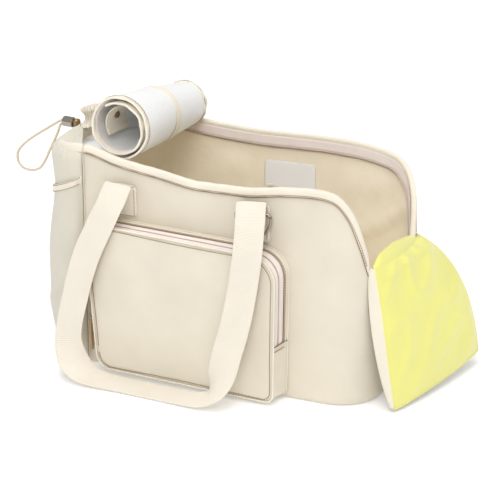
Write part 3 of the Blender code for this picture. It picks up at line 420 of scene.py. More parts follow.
def stitches(name, lines, body="tub", finish=THREAD_AND_SEAM_SHADE, radius=0.0005):
    """Rows of short thread dashes, six-sided and narrower at their ends, along lines that lie on the cloth."""
    points, faces = [], []
    for line in lines:
        places = resample(line, STITCH_PITCH)
        for one, other in zip(places, places[1:]):
            way = (other - one).normalized()
            side = way.orthogonal().normalized()
            up = way.cross(side)
            start = len(points)
            for along, reach in ((0.0, 0.4), (0.2, 1.0), (0.8, 1.0), (1.0, 0.4)):
                centre = one + way * STITCH_LENGTH * along
                points += [centre + (side * math.cos(a) + up * math.sin(a)) * radius * reach for a in around(6)]
            for ring in range(start, start + 18, 6):
                for n in range(6):
                    a, b = ring + n, ring + (n + 1) % 6
                    faces.append((a, b, b + 6, a + 6))
            faces.append(tuple(start + n for n in reversed(range(6))))
            faces.append(tuple(start + 18 + n for n in range(6)))
    mesh = bpy.data.meshes.new(name)
    mesh.from_pydata([tuple(p) for p in points], [], faces)
    return add_piece(name, mesh, finish, body)


def smooth_points(knots, per_span):
    """Points of a smooth curve through knots, which may hold any number of values each."""
    found = []
    for k in range(len(knots) - 1):
        p1, p2 = Vector(knots[k]), Vector(knots[k + 1])
        p0 = Vector(knots[k - 1]) if k else 2 * p1 - p2
        p3 = Vector(knots[k + 2]) if k + 2 < len(knots) else 2 * p2 - p1
        for j in range(per_span):
            t = j / per_span
            found.append(
                0.5 * (2 * p1 + (p2 - p0) * t + (2 * p0 - 5 * p1 + 4 * p2 - p3) * t * t
                       + (3 * p1 - p0 - 3 * p2 + p3) * t ** 3)
            )
    found.append(Vector(knots[-1]))
    return found


def arch(share, power):
    """0 at both ends of 0 to 1 and 1 in the middle. A lower power makes it fuller."""
    return max(math.sin(math.pi * min(max(share, 0.0), 1.0)), 0.0) ** power


def ease(value, low, high):
    """0 below low, 1 above high, smooth between."""
    t = min(max((value - low) / (high - low), 0.0), 1.0)
    return t * t * (3 - 2 * t)


def cloth_noise(x, y, seed, size_x, size_y):
    """Smooth waves of about these sizes, either side of 0."""
    return noise.noise(Vector((x / size_x, y / size_y, seed)))


def crumple(x, y, seed, size):
    """Sharp-ridged folds, from 0 in the hollows to 1 on a ridge."""
    return 1 - min(abs(noise.noise(Vector((x / size, y / size, seed)))) * 2.6, 1.0)


# ---- the tub's plan ----

def plan_point(s, out=0.0):
    """The tub's outline from above, s metres round from the middle of its front, moved outwards by out."""
    radius = CORNER_RADIUS + out
    legs = (
        (HALF_STRAIGHT, Vector((0, -WIDTH / 2)), Vector((1, 0)), None),
        (CORNER_ARC, None, None, (Vector((HALF_STRAIGHT, -HALF_END)), -90)),
        (2 * HALF_END, Vector((LENGTH / 2, -HALF_END)), Vector((0, 1)), None),
        (CORNER_ARC, None, None, (Vector((HALF_STRAIGHT, HALF_END)), 0)),
        (2 * HALF_STRAIGHT, Vector((HALF_STRAIGHT, WIDTH / 2)), Vector((-1, 0)), None),
        (CORNER_ARC, None, None, (Vector((-HALF_STRAIGHT, HALF_END)), 90)),
        (2 * HALF_END, Vector((-LENGTH / 2, HALF_END)), Vector((0, -1)), None),
        (CORNER_ARC, None, None, (Vector((-HALF_STRAIGHT, -HALF_END)), 180)),
        (HALF_STRAIGHT, Vector((-HALF_STRAIGHT, -WIDTH / 2)), Vector((1, 0)), None),
    )
    left = s % PERIMETER
    for length, start, way, corner in legs:
        if left <= length + 1e-9:
            break
        left -= length
    if corner:
        centre, first = corner
        turn = math.radians(first + 90 * left / length)
        return centre + radius * Vector((math.cos(turn), math.sin(turn)))
    return start + left * way + out * Vector((way.y, -way.x))


def through(knots, at):
    """The height at a place along knots of (place, height), smooth and never past a knot's own height."""
    slopes = []
    for k in range(len(knots)):
        before = knots[max(k - 1, 0)]
        after = knots[min(k + 1, len(knots) - 1)]
        slope = (after[1] - before[1]) / (after[0] - before[0])
        left = knots[k][1] - before[1]
        right = after[1] - knots[k][1]
        slopes.append(slope if left * right > 0 else 0.0)
    for k in range(len(knots) - 1):
        if at <= knots[k + 1][0]:
            break
    (x0, y0), (x1, y1) = knots[k], knots[k + 1]
    span = x1 - x0
    t = min(max((at - x0) / span, 0.0), 1.0)
    bend = slopes[k] * span * t * (1 - t) ** 2 - slopes[k + 1] * span * t * t * (1 - t)
    return y0 + (y1 - y0) * t * t * (3 - 2 * t) + bend


def rim(s):
    """The rim's height."""
    s = (s + PERIMETER / 2) % PERIMETER - PERIMETER / 2
    if -END_MIDDLE <= s <= END_MIDDLE:
        return through(FRONT_RIM, s)
    return through(BACK_RIM, math.copysign(PERIMETER / 2, s) - s)


def back(q):
    """The place on the back wall that is q along from its middle, towards the flap."""
    return PERIMETER / 2 - q


def below_rim(s, drop):
    """The height that is drop below the rim, measured square to it where it slopes."""
    slope = (rim(s + 0.001) - rim(s - 0.001)) / 0.002
    return rim(s) - drop * min(math.hypot(1.0, slope), 2.4)


def at_wall(s, z, out):
    point = plan_point(s, out)
    return Vector((point.x, point.y, z))


def along_rim(places, drop, out):
    """A line that follows the rim, drop below it and out from the wall."""
    return [at_wall(s, below_rim(s, drop), out) for s in places]


def spread(first, last, spacing=0.006):
    """Values from first to last, about spacing apart."""
    return steps(first, last, max(1, round((last - first) / spacing)))


def wall_rows(foot, drop, shares, out):
    """Rows round the tub, at shares of the way from the height foot to drop below the rim, standing off by out."""
    places = spread(0.0, PERIMETER)[:-1]
    rows = []
    for share in shares:
        heights = [foot + (below_rim(s, drop) - foot) * share for s in places]
        rows.append([at_wall(s, z, out(s, z)) for s, z in zip(places, heights)])
    return rows


def shell_out(s, z):
    """How far the outer cloth stands from the wall's line: a slight swell, long soft waves, puckers at the rim."""
    top = rim(s)
    swell = 0.0009 * arch(z / top, 0.8)
    waves = 0.0019 * cloth_noise(s + 0.3 * z, z, 1.7, 0.060, 0.13)
    waves += 0.0004 * cloth_noise(s + z * 0.6, z, 4.2, 0.03, 0.07)
    puckers = 0.0005 * cloth_noise(s, z, 7.1, 0.011, 0.03) * (1 - ease(top - z, 0.010, 0.045))
    seam = 0.0006 * cloth_noise(s, z, 3.3, 0.04, 0.010) * (1 - ease(abs(z - 0.015), 0.0, 0.03))
    return -0.0014 + swell + waves * ease(top - z, 0.008, 0.03) + puckers + seam


def build_shell():
    places = spread(0.0, PERIMETER)[:-1]
    rows = [[Vector((0, 0, FLOOR_GAP))] * len(places)]
    for inset, z in ((0.050, FLOOR_GAP), (0.020, FLOOR_GAP), (0.0065, FLOOR_GAP), (0.0030, 0.0014), (0.0012, 0.0032)):
        rows.append([at_wall(s, z, -inset - 0.0008) for s in places])
    rows += wall_rows(0.006, BINDING_HEIGHT - 0.003, [k / 26 for k in range(27)], shell_out)
    grid("tub_shell", rows, SHELL, loop_u=True, thick=0.0014, levels=0, weld=True,
         stands_for=("front_panel", "end_wall", "back_panel", "left_end_panel", "base_panel"))


def lining_out(s, z):
    """The lining hangs loose: broad folds below the zip, flat against the wall at the top."""
    loose = ease(rim(s) - z, 0.020, 0.060) * ease(z, 0.01, 0.05)
    calm = 1 - 0.85 * (1 - ease(abs(s - back(0.030)), 0.045, 0.075)) * (1 - ease(abs(z - 0.212), 0.03, 0.05))
    broad = 0.0050 * max(cloth_noise(s + 0.5 * z, z, 2.9, 0.050, 0.090) + 0.15, 0.0)
    sharp = 0.0044 * crumple(s + 0.7 * z, z * 0.5, 5.4, 0.070) ** 3
    return -0.0046 - loose * calm * (broad + sharp)


def build_lining():
    rows = wall_rows(0.0064, 0.004, [1 - k / 26 for k in range(27)], lining_out)
    lining = grid("tub_lining", rows, LINING, loop_u=True, thick=-0.0006, flip=True, stands_for=("lining",))


def build_binding():
    """The cloth tape folded over the rim, with two rows of stitching and a thin dark tube of painted shadow under it.
    """
    outline = (
        (0.0008, 0.0102), (BINDING_OUT, 0.0088), (BINDING_OUT + 0.0003, 0.0055), (BINDING_OUT, 0.0018),
        (0.0002, 0.0002), (-0.0026, -0.0004), (-0.0054, 0.0003), (-0.0064, 0.0020), (-0.0062, 0.0060),
        (-0.0058, 0.0100), (-0.0044, 0.0104), (-0.0010, 0.0104),
    )
    spans = (
        ("front", LEFT_SEAM, FRONT_DROP_END),
        ("back", back(BACK_DROP_END), back(LEFT_SEAM)),
        ("left", back(LEFT_SEAM) + 0.0003, PERIMETER + LEFT_SEAM - 0.0003),
    )
    lines = []
    for name, first, last in spans:
        places = spread(first, last, RIM_SPACING)
        rows = []
        for s in places:
            wobble = 0.00035 * cloth_noise(s, 0, 9.1, 0.012, 1)
            rows.append([at_wall(s, below_rim(s, drop + wobble), out + wobble) for out, drop in outline])
        grid(f"rim_tape_{name}", rows, TRIM, loop_u=True, caps=True, stands_for=(f"rim_binding_{name}",))
        if name != "left":
            lines.append(along_rim(places[1:-1], 0.0086, BINDING_OUT + 0.0003))
            lines.append(along_rim(places[1:-1], 0.0084, -0.0065))
    stitches("rim_stitching", lines)
    # Painted shadow: thin dark tubes along the binding's lower edge stand for the shade under it
    for k, (_, first, last) in enumerate(spans[:2]):
        tube(f"rim_painted_shadow_{k}", along_rim(spread(first, last, RIM_SPACING), 0.0106, 0.0001), 0.0006, THREAD_AND_SEAM_SHADE, sides=6)


def build_main_zip():
    """The open main zip: a half of its tape on each long side of the rim, with its teeth along the free edge."""
    for name, first, last in (("front", -0.1740, 0.2110), ("back", back(0.2430), back(-0.1740))):
        places = spread(first, last, RIM_SPACING)
        waves = [cloth_noise(s, 0, 3.7, 0.010, 1) for s in places]
        rows = []
        for s, wave in zip(places, waves):
            row = []
            for drop in (0.0060, 0.0100, 0.0140, 0.0178):
                loose = ease(drop, 0.008, 0.018)
                row.append(at_wall(s, below_rim(s, drop), -0.0071 - loose * (0.0006 + 1.6 * (0.0004 * wave))))
            rows.append(row)
        grid(f"zip_tape_{name}_cloth", rows, TAPE, thick=0.0006, flip=True, stands_for=(f"zip_tape_{name}",))
        teeth = [at_wall(s, below_rim(s, 0.0186), -0.0083 - 0.0006 * wave) for s, wave in zip(places, waves)]
        tube(f"zip_teeth_{name}", teeth, 0.0010, TEETH)
    lines = []
    for first, last in ((-0.170, 0.2090), (back(0.2410), back(-0.170))):
        lines.append(along_rim(spread(first, last, RIM_SPACING), 0.0205, -0.0078))
    stitches("zip_stitching", lines)


# ---- front pocket ----

def rounded_pocket(depth):
    """The pocket's rounded outline at a depth from the wall (0) to the face (1), from its bottom left corner."""
    corners = [Vector(w).lerp(Vector(f), depth) for w, f in zip(POCKET_WALL_CORNERS, POCKET_FACE_CORNERS)]
    found = []
    for k, (corner, radius) in enumerate(zip(corners, POCKET_RADII)):
        to_before = (corners[k - 1] - corner).normalized()
        to_after = (corners[(k + 1) % len(corners)] - corner).normalized()
        half = to_before.angle(to_after) / 2
        centre = corner + (to_before + to_after).normalized() * radius / math.sin(half)
        start = corner + to_before * radius / math.tan(half) - centre
        turn = math.pi - 2 * half
        found += [centre + Matrix.Rotation(turn * j / 8, 2) @ start for j in range(9)]
    return found


def with_next(points):
    return zip(points, points[1:] + points[:1])


# The points between two corners of the outline are as many at every depth, so that rings at two depths match
POCKET_STEPS = [max(1, round((after - p).length / POCKET_SPACING)) for p, after in with_next(rounded_pocket(1.0))]


def pocket_outline(depth):
    sides = zip(with_next(rounded_pocket(depth)), POCKET_STEPS)
    return [p.lerp(after, j / count) for (p, after), count in sides for j in range(count)]


def pocket_at(depth, out, shape=None):
    """Points round the pocket in space, at a depth and out from its side. shape is the depth they take their outline
    from, where it isn't their own."""
    outline = pocket_outline(depth if shape is None else shape)
    found = []
    for k, p in enumerate(outline):
        way = outline[(k + 1) % len(outline)] - outline[k - 1]
        normal = Vector((way.y, -way.x)).normalized()
        if normal.dot(p - POCKET_MIDDLE) < 0:
            normal.negate()
        moved = p + normal * out
        found.append(Vector((moved.x, -WIDTH / 2 - WALL_GAP - depth * POCKET_DEPTH, moved.y)))
    return found


def pocket_face_y(x, z, edge):
    """The face's depth: rounded at its edge, a little full in the middle, with long soft waves."""
    round_off = 0.0018 * (1 - ease(edge, 0.0, 0.006))
    fill = 0.0010 * ease(edge, 0.0, 0.06)
    waves = 0.0016 * cloth_noise(x + 0.2 * z, z, 6.3, 0.050, 0.085) * ease(edge, 0.004, 0.03)
    pucker = 0.0005 * cloth_noise(x, z, 8.8, 0.012, 0.012) * (1 - ease(edge, 0.006, 0.02))
    return -0.1336 + round_off - fill + waves + pucker


def build_pocket():
    outline = pocket_outline(1.0)
    rows = []
    for share in (0.0, 0.006, 0.014, 0.024, 0.036, 0.05, 0.07, 0.10, 0.14, 0.2, 0.27, 0.35, 0.45, 0.56, 0.68, 0.8,
                  0.92, 1.0):
        inner = [p.lerp(POCKET_MIDDLE, share) for p in outline]
        rows.append([Vector((q.x, pocket_face_y(q.x, q.y, (p - q).length), q.y)) for p, q in zip(outline, inner)])
    grid("pocket_panel", rows, SHELL, loop_u=True, thick=0.0010, levels=0, stands_for=("pocket_face",), weld=True,
         flat_uv=lambda p: (p.x, p.z))
    # The zip runs from the right side, over the top, to low on the left side
    right_end = sum(POCKET_STEPS[:17]) + round(0.42 * POCKET_STEPS[17])
    left_end = sum(POCKET_STEPS[:35]) + round(0.84 * POCKET_STEPS[35])
    zip_run = list(range(right_end, left_end + 1))
    bottom_run = [k % len(outline) for k in range(left_end, len(outline) + right_end + 1)]

    def band(name, run, depths, finish, stand=0.0, sag=0.0, **more):
        """A strip of cloth round the pocket's side."""
        rings = []
        for k, depth in enumerate(depths):
            at = pocket_at(depth, stand - sag * arch(k / (len(depths) - 1), 1.0))
            rings.append([at[i] for i in run])
        grid(name, list(map(list, zip(*rings))), finish, thick=0.0008, flip=True, **more)

    band("pocket_storm_strip", zip_run, (0.0, 0.10, 0.20, 0.30), SHELL, stands_for=("pocket_zip_tape",),
         slot="zip_fabric")
    band("pocket_tape_back", zip_run, (0.29, 0.40, 0.50, 0.615), TAPE, stand=-0.0006)
    band("pocket_tape_front", zip_run, (0.64, 0.74, 0.85, 0.95), TAPE, stand=-0.0006)
    band("pocket_wall", bottom_run, (0.0, 0.2, 0.4, 0.6, 0.8, 0.985), SHELL, sag=0.0006, stands_for=("pocket_gusset",))
    teeth = pocket_at(0.628, -0.0004)
    tube("pocket_teeth", [teeth[i] for i in zip_run], 0.0007, TEETH)
    tube("pocket_piping", pocket_at(0.965, 0.0001, shape=1.0), 0.0012, TRIM, loop=True)
    tube("pocket_wall_piping", pocket_at(0.015, 0.0004, shape=0.0), 0.0009, TRIM, loop=True)
    lines = []
    for depth, stand in ((0.325, 0.0004), (0.935, 0.0004), (0.270, 0.0009)):
        line = pocket_at(depth, stand)
        lines.append([line[i] for i in zip_run])
    seam = [p.lerp(POCKET_MIDDLE, POCKET_SEAM_IN / (p - POCKET_MIDDLE).length) for p in outline]
    lines.append([Vector((q.x, pocket_face_y(q.x, q.y, POCKET_SEAM_IN) - 0.0004, q.y)) for q in seam])
    stitches("pocket_stitching", lines)
    rings = [pocket_at(depth, 0.0004) for depth in (0.25, 0.4, 0.6, 0.8, 0.97)]
    ends = (right_end, right_end - 1, left_end, left_end + 1)
    stitches("pocket_zip_end_stitching", [[ring[k % len(outline)] for ring in rings] for k in ends])


# ---- webbing ----

def half_turn(point):
    """The matching place on the back, half a turn about an upright line between the handle's two ends."""
    return Vector((HANDLE_LEFT_X + HANDLE_RIGHT_X - point[0], -point[1], point[2]))


def build_webbing():
    centres, sides = (smooth_points([knot[k] for knot in HANDLE_KNOTS], 4) for k in (0, 1))
    strap("front_handle_web", centres, sides, WEB_WIDTH, WEB_THICKNESS, WEBBING, "front_handle", ("front_handle",))
    strap("back_handle_web", [half_turn(c) for c in centres], [Vector((-s.x, -s.y, s.z)) for s in sides], WEB_WIDTH,
          WEB_THICKNESS, WEBBING, "back_handle", ("back_handle",))
    bar = Vector(RING_BAR)
    reach, rise = 0.0029, 0.0055
    loop = [bar + Vector((0, reach * math.cos(a), -reach * math.sin(a))) for a in steps(0, math.pi, 8)]
    loop = [bar + Vector((0, reach, rise)), *loop, bar + Vector((0, -reach, rise))]
    across = [Vector((1, 0, 0))] * len(loop)
    strap("front_ring_web", loop, across, 0.030, 0.0012, WEBBING, stands_for=("front_ring_tab",))
    strap("back_ring_web", [half_turn(p) for p in loop], across, 0.030, 0.0012, WEBBING, stands_for=("back_ring_tab",))
    y = -WIDTH / 2 - WALL_GAP - WEB_THICKNESS / 2
    face = y - WEB_THICKNESS / 2 - 0.0001
    lines = []
    for side, other, x, foot in (("left", "right", HANDLE_LEFT_X, 0.2035), ("right", "left", HANDLE_RIGHT_X, 0.1945)):
        path = [Vector((x, y, z)) for z in steps(foot, BASE_TOP, 6)]
        strap(f"front_base_{side}_web", path, across, WEB_WIDTH, WEB_THICKNESS, WEBBING,
              stands_for=(f"front_handle_base_{side}",))
        strap(f"back_base_{other}_web", [half_turn(p) for p in path], across, WEB_WIDTH, WEB_THICKNESS, WEBBING,
              stands_for=(f"back_handle_base_{other}",))
        low, high, half = foot + 0.003, BASE_TOP - 0.003, WEB_WIDTH / 2 - 0.003
        box = [Vector((x + along, face, z))
               for along, z in ((-half, low), (half, low), (half, high), (-half, high), (-half, low))]
        lines += [[one, more] for one, more in zip(box, box[1:])]
    stitches("handle_base_stitching", lines + [[half_turn(p) for p in line] for line in lines])


def build_rings():
    """The D-shaped rings, the tether's ring and the pull's link, as smooth wire."""
    bar = Vector(RING_BAR)
    half, drop = 0.0225, 0.0285
    wire = [bar + Vector((half * share, 0, 0)) for share in (-0.85, -0.4, 0.0, 0.4, 0.85)]
    for k in range(31):
        turn = math.pi * (k + 0.5) / 31
        wire.append(bar + Vector((half * math.cos(turn), 0, -drop * math.sin(turn) ** 0.8)))
    tube("front_ring_wire", wire, 0.0019, NICKEL, "front_d_ring", 12, True, ("front_d_ring",))
    turned = [half_turn(p) for p in wire]
    tube("back_ring_wire", turned, 0.0019, NICKEL, "back_d_ring", 12, True, ("back_d_ring",))
    low, high = (Vector(corner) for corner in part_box("tether_ring"))
    centre, radius = (low + high) / 2, (high.x - low.x) / 2 - 0.0015
    wire = [centre + radius * Vector((math.cos(t), 0, math.sin(t))) for t in around(40)]
    tube("tether_wire", wire, 0.0015, NICKEL, "tether_ring", 12, True, ("tether_ring",))
    low, high = (Vector(corner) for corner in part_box("pocket_pull_link"))
    centre, size = (low + high) / 2, (high - low) / 2 - Vector((0.0008, 0.0008, 0.0008))
    wire = [centre + Vector((0, size.y * math.sin(t), size.z * math.cos(t))) for t in around(32)]
    tube("pull_link_wire", wire, 0.0009, NICKEL, "pocket_pull", 10, True, ("pocket_pull_link",))


# ---- end flap ----

def bezier(points, t):
    """A cubic curve's place at t, from its four control points."""
    p0, p1, p2, p3 = (Vector(p) for p in points)
    return p0 * (1 - t) ** 3 + 3 * p1 * t * (1 - t) ** 2 + 3 * p2 * t * t * (1 - t) + p3 * t ** 3


def flap_surface(across, down):
    """The flap's yellow face. down is 0 at the fold, 1 at the free edge, and below 0 on the ridge over the sill."""
    near, far = bezier(FLAP_NEAR, max(down, 0.0)), bezier(FLAP_FAR, max(down, 0.0))
    bulge = FLAP_BULGE * arch(across, 0.6) * (1 - 0.45 * max(down, 0.0))
    point = near.lerp(far, across) + Vector((bulge, 0, 0))
    if down >= 0:
        return point
    rise = -down / 0.24
    y = point.y
    top = Vector((0.2125 + 0.0015 * arch(across, 1.0), y, through(FOLD_RIDGE, y) - 0.0010))
    if rise <= 0.5:
        lift = point.lerp(top, rise * 2)
        return lift + Vector((0.0030 * arch(rise * 2, 1.0) * arch(across, 0.5), 0, 0))
    turn = math.pi * min((rise - 0.5) * 4, 1.0)
    inside = top + Vector((-0.0032 * (1 - math.cos(turn)) / 2, 0, 0.0010 * math.sin(turn)))
    return inside + Vector((0, 0, -(top.z - SILL + 0.004) * max(rise - 0.75, 0.0) * 4))


def flap_folds(across, down):
    """Ridges in the yellow cloth: a curved fold under the top and soft drags towards the corners."""
    curve = 0.10 + 0.22 * (across - 0.45) ** 2
    fold = 0.0042 * math.exp(-((down - curve) / 0.026) ** 2) * arch(across, 0.5)
    drag = 0.0046 * crumple(across * 0.8 + down * 0.9, across * 0.5 - down * 0.4, 3.1, 0.30) ** 3
    soft = 0.0014 * cloth_noise(across, down, 2.2, 0.25, 0.35)
    edge = ease(min(across, 1 - across), 0.0, 0.10) * ease(1 - down, 0.0, 0.08) * ease(down, -0.02, 0.05)
    second = 0.0030 * math.exp(-((down - curve * 0.45) / 0.020) ** 2) * arch(across, 0.5)
    return (fold + second + drag + soft) * edge


def flap_normal(across, down):
    """The way out of the yellow face."""
    step = 0.02
    along = flap_surface(min(across + step, 1), down) - flap_surface(max(across - step, 0), down)
    drop = flap_surface(across, min(down + step, 1)) - flap_surface(across, max(down - step, -0.24))
    return drop.cross(along).normalized()


def flap_rows(first, depth, wrinkle, columns=28, count=36):
    """Rows of a layer that lies depth behind the yellow face, with this share of its folds."""
    return [[flap_surface(across, down) + flap_normal(across, down) * (wrinkle * flap_folds(across, down) - depth)
             for across in steps(0, 1, columns)] for down in steps(first, 1, count)]


def build_flap():
    yellow = grid("flap_face", flap_rows(-0.24, 0.0, 1.0), YELLOW, body=None, thick=0.0008,
                  stands_for=("flap_lining", "flap_fold"))
    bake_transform(yellow)
    shell = grid("flap_back", flap_rows(-0.02, 0.0036, 0.3), SHELL, body=None, thick=0.0010, flip=True,
                 stands_for=("flap_shell",))
    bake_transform(shell)
    lines = []
    for name, across, side in (("front", 0.0, -1), ("back", 1.0, 1)):
        rows = []
        for k in range(25):
            down = k / 24
            edge = flap_surface(across, down) + Vector((0.0004, side * 0.0004, 0))
            depth = 0.0044 + 0.0122 * arch(k / 24, 0.7)
            ripple = 0.0010 * cloth_noise(k * 0.01, 0.0, 4.4 + side, 0.03, 1.0)
            fulls = [(share, 0.0010 * arch(share, 1.0) + ripple * arch(share, 1.0)) for share in steps(0, 1, 4)]
            rows.append([edge + Vector((-depth * share, side * full, 0)) for share, full in fulls])
        grid(f"flap_side_{name}", rows, TRIM, body="end_flap", thick=0.0008, flip=side < 0,
             stands_for=(f"flap_gusset_{name}",))
        edge_line = [flap_surface(across, -0.02 + 1.01 * k / 24) for k in range(25)]
        tube(f"flap_edge_{name}", edge_line, 0.0012, YELLOW, body="end_flap")
        inner = 0.03 if across == 0 else 0.97
        lines.append([flap_surface(inner, d) + flap_normal(inner, d) * (flap_folds(inner, d) + 0.0001)
                      for d in (0.02 + 0.96 * k / 40 for k in range(41))])
    tube("flap_edge_end", [flap_surface(k / 24, 1.0) for k in range(25)], 0.0014, YELLOW, body="end_flap")
    stitches("flap_stitching", lines, body="end_flap", finish=CREAM_THREAD, radius=0.0003)


# ---- rolled cover ----

def roll_size(y):
    """The roll is wound a little tighter towards the back."""
    return 1.0 - 0.26 * ease(y, -0.10, 0.13)


def roll_path(stand, per_turn, wobble=0.0, seed=0.0, y=0.0):
    """The cover's path seen from the front, (x, z): flat from its hinge, then wound up. stand moves it outwards."""
    size = roll_size(y)
    centre = Vector((ROLL_CENTRE[0] - 0.2 * (1 - size) * ROLL_OUTER, ROLL_CENTRE[1] - (1 - size) * ROLL_OUTER))
    points = [Vector((ROLL_HINGE[0] + x, ROLL_HINGE[2] + z))
              for x, z in ((0.002, 0.0), (0.010, -0.0005), (0.018, -0.0006), (0.030, -0.0008))]
    count = round(ROLL_TURNS * per_turn)
    for share in (k / count for k in range(count + 1)):
        turn = math.radians(-90) + share * ROLL_TURNS * 2 * math.pi
        radius = (ROLL_OUTER + (ROLL_INNER - ROLL_OUTER) * share) * size + stand
        radius += wobble * noise.noise(Vector((turn * 1.3, seed, 0.5)))
        points.append(centre + radius * Vector((math.cos(turn), math.sin(turn))))
    return points


def build_cover():
    widths = steps(-ROLL_HALF_WIDTH, ROLL_HALF_WIDTH, 24)
    paths = [roll_path(0.0, 40, 0.0011, 3.0 + y * 9, y) for y in widths]
    rows = [[Vector((p.x, y, p.y)) for p, y in zip(level, widths)] for level in zip(*paths)]
    roll = grid("cover_net", rows, NET, "top_cover", thick=0.0008, flip=True, stands_for=("cover_roll",))
    lines = []
    for side, y, inward in (("front", -ROLL_HALF_WIDTH - 0.0030, 1), ("back", ROLL_HALF_WIDTH + 0.0030, -1)):
        centres, sides = [], []
        for k, p in enumerate(roll_path(0.0, 60, 0.0012, 8.0 + y, y)):
            ruffle = 0.0013 * cloth_noise(k * 0.0035, 0, 5.5, 0.011, 1)
            centres.append(Vector((p.x, y + ruffle, p.y)))
            lean = 0.50 * cloth_noise(k * 0.0035, 1, 6.5, 0.012, 1)
            sides.append(Vector((lean, 1, lean * 0.6)))
        strap(f"cover_edge_{side}", centres, sides, 0.0086, 0.0028, TRIM, "top_cover", (f"cover_binding_{side}",))
        tape, line = ([Vector((p.x, y + inward * inset, p.y)) for p in roll_path(stand, 60, 0.0012, 8.0 + y, y)]
                      for stand, inset in ((-0.0015, 0.0052), (0.0016, 0.0028)))
        strap(f"cover_tape_{side}", tape, [Vector((0, 1, 0))] * len(tape), 0.0060, 0.0009, TAPE, "top_cover")
        lines.append(line[4:50])
    stitches("cover_stitching", lines, body="top_cover")
    band = [Vector((p.x, 0.0, p.y)) for p in roll_path(0.0019, 60)[8:56]]
    strap("cover_centre_band", band, [Vector((0, 1, 0))] * len(band), 0.0125, 0.0010, TRIM, "top_cover",
          ("cover_band",))
    tab_rows = []
    for k in range(17):
        turn = math.radians(112 + 106 * k / 16)
        row = []
        for i in range(13):
            y = -0.084 + 0.052 * i / 12
            radius = 0.0245 - 0.0008 * arch(k / 16, 1) + 0.0006 * cloth_noise(y, k * 0.003, 1.1, 0.015, 0.012)
            row.append(Vector((ROLL_CENTRE[0] + radius * math.cos(turn), y, ROLL_CENTRE[1] + radius * math.sin(turn))))
        tab_rows.append(row)
    grid("cover_pull_tab", tab_rows, SHELL, "top_cover", thick=0.0014, stands_for=("cover_tab",))
    edge = [row[0] for row in tab_rows] + tab_rows[-1][1:]
    edge += [row[-1] for row in tab_rows[-2::-1]] + tab_rows[0][11:0:-1]
    inner = [Vector((ROLL_CENTRE[0], p.y, ROLL_CENTRE[1])).lerp(p, 0.965) for p in edge]
    stitches("cover_tab_stitching", [[p.lerp(TAB_MIDDLE, 0.12) for p in inner]], body="top_cover", finish=CREAM_THREAD)
    first, last = back(LEFT_SEAM + 0.0002), PERIMETER + LEFT_SEAM + 0.0002
    outline = [at_wall(s, 0.0, -0.0086) for s in spread(first, last, 0.008)]
    base_rows = []
    for share in (0.0, 0.2, 0.4, 0.6, 0.8, 1.0):
        row = []
        for p in outline:
            x = p.x + (BASE_NET_EDGE_X - p.x) * share
            row.append(Vector((x, p.y * (1 - 0.02 * share), 0.2706 + 0.0010 * cloth_noise(p.y, x, 2.0, 0.03, 0.02))))
        base_rows.append(row)
    base = grid("cover_base_net", base_rows, NET, thick=0.0007, flip=True, stands_for=("cover_base",))


# ---- closed end ----

def pouch_out(share, z):
    """How far the pouch stands from the tub's wall: thin at its side seams, gathered at the top, with loose drapes."""
    stand = through(POUCH_LEVELS, z)
    full = 0.0006 + (POUCH_BACK + 0.0003) * ease(min(share, 1 - share), 0.0, 0.015) + stand * arch(share, 0.45)
    gathers = 0.0016 * math.sin(share * math.pi * GATHERS) * ease(z, 0.235, 0.282) * arch(share, 0.5)
    drapes = 0.0034 * cloth_noise(share * 0.27 + 0.2 * z, z, 3.9, 0.035, 0.10) * arch(share, 0.5) * ease(z, 0.02, 0.08)
    return full + gathers + drapes - 0.0008 * arch(share, 0.5)


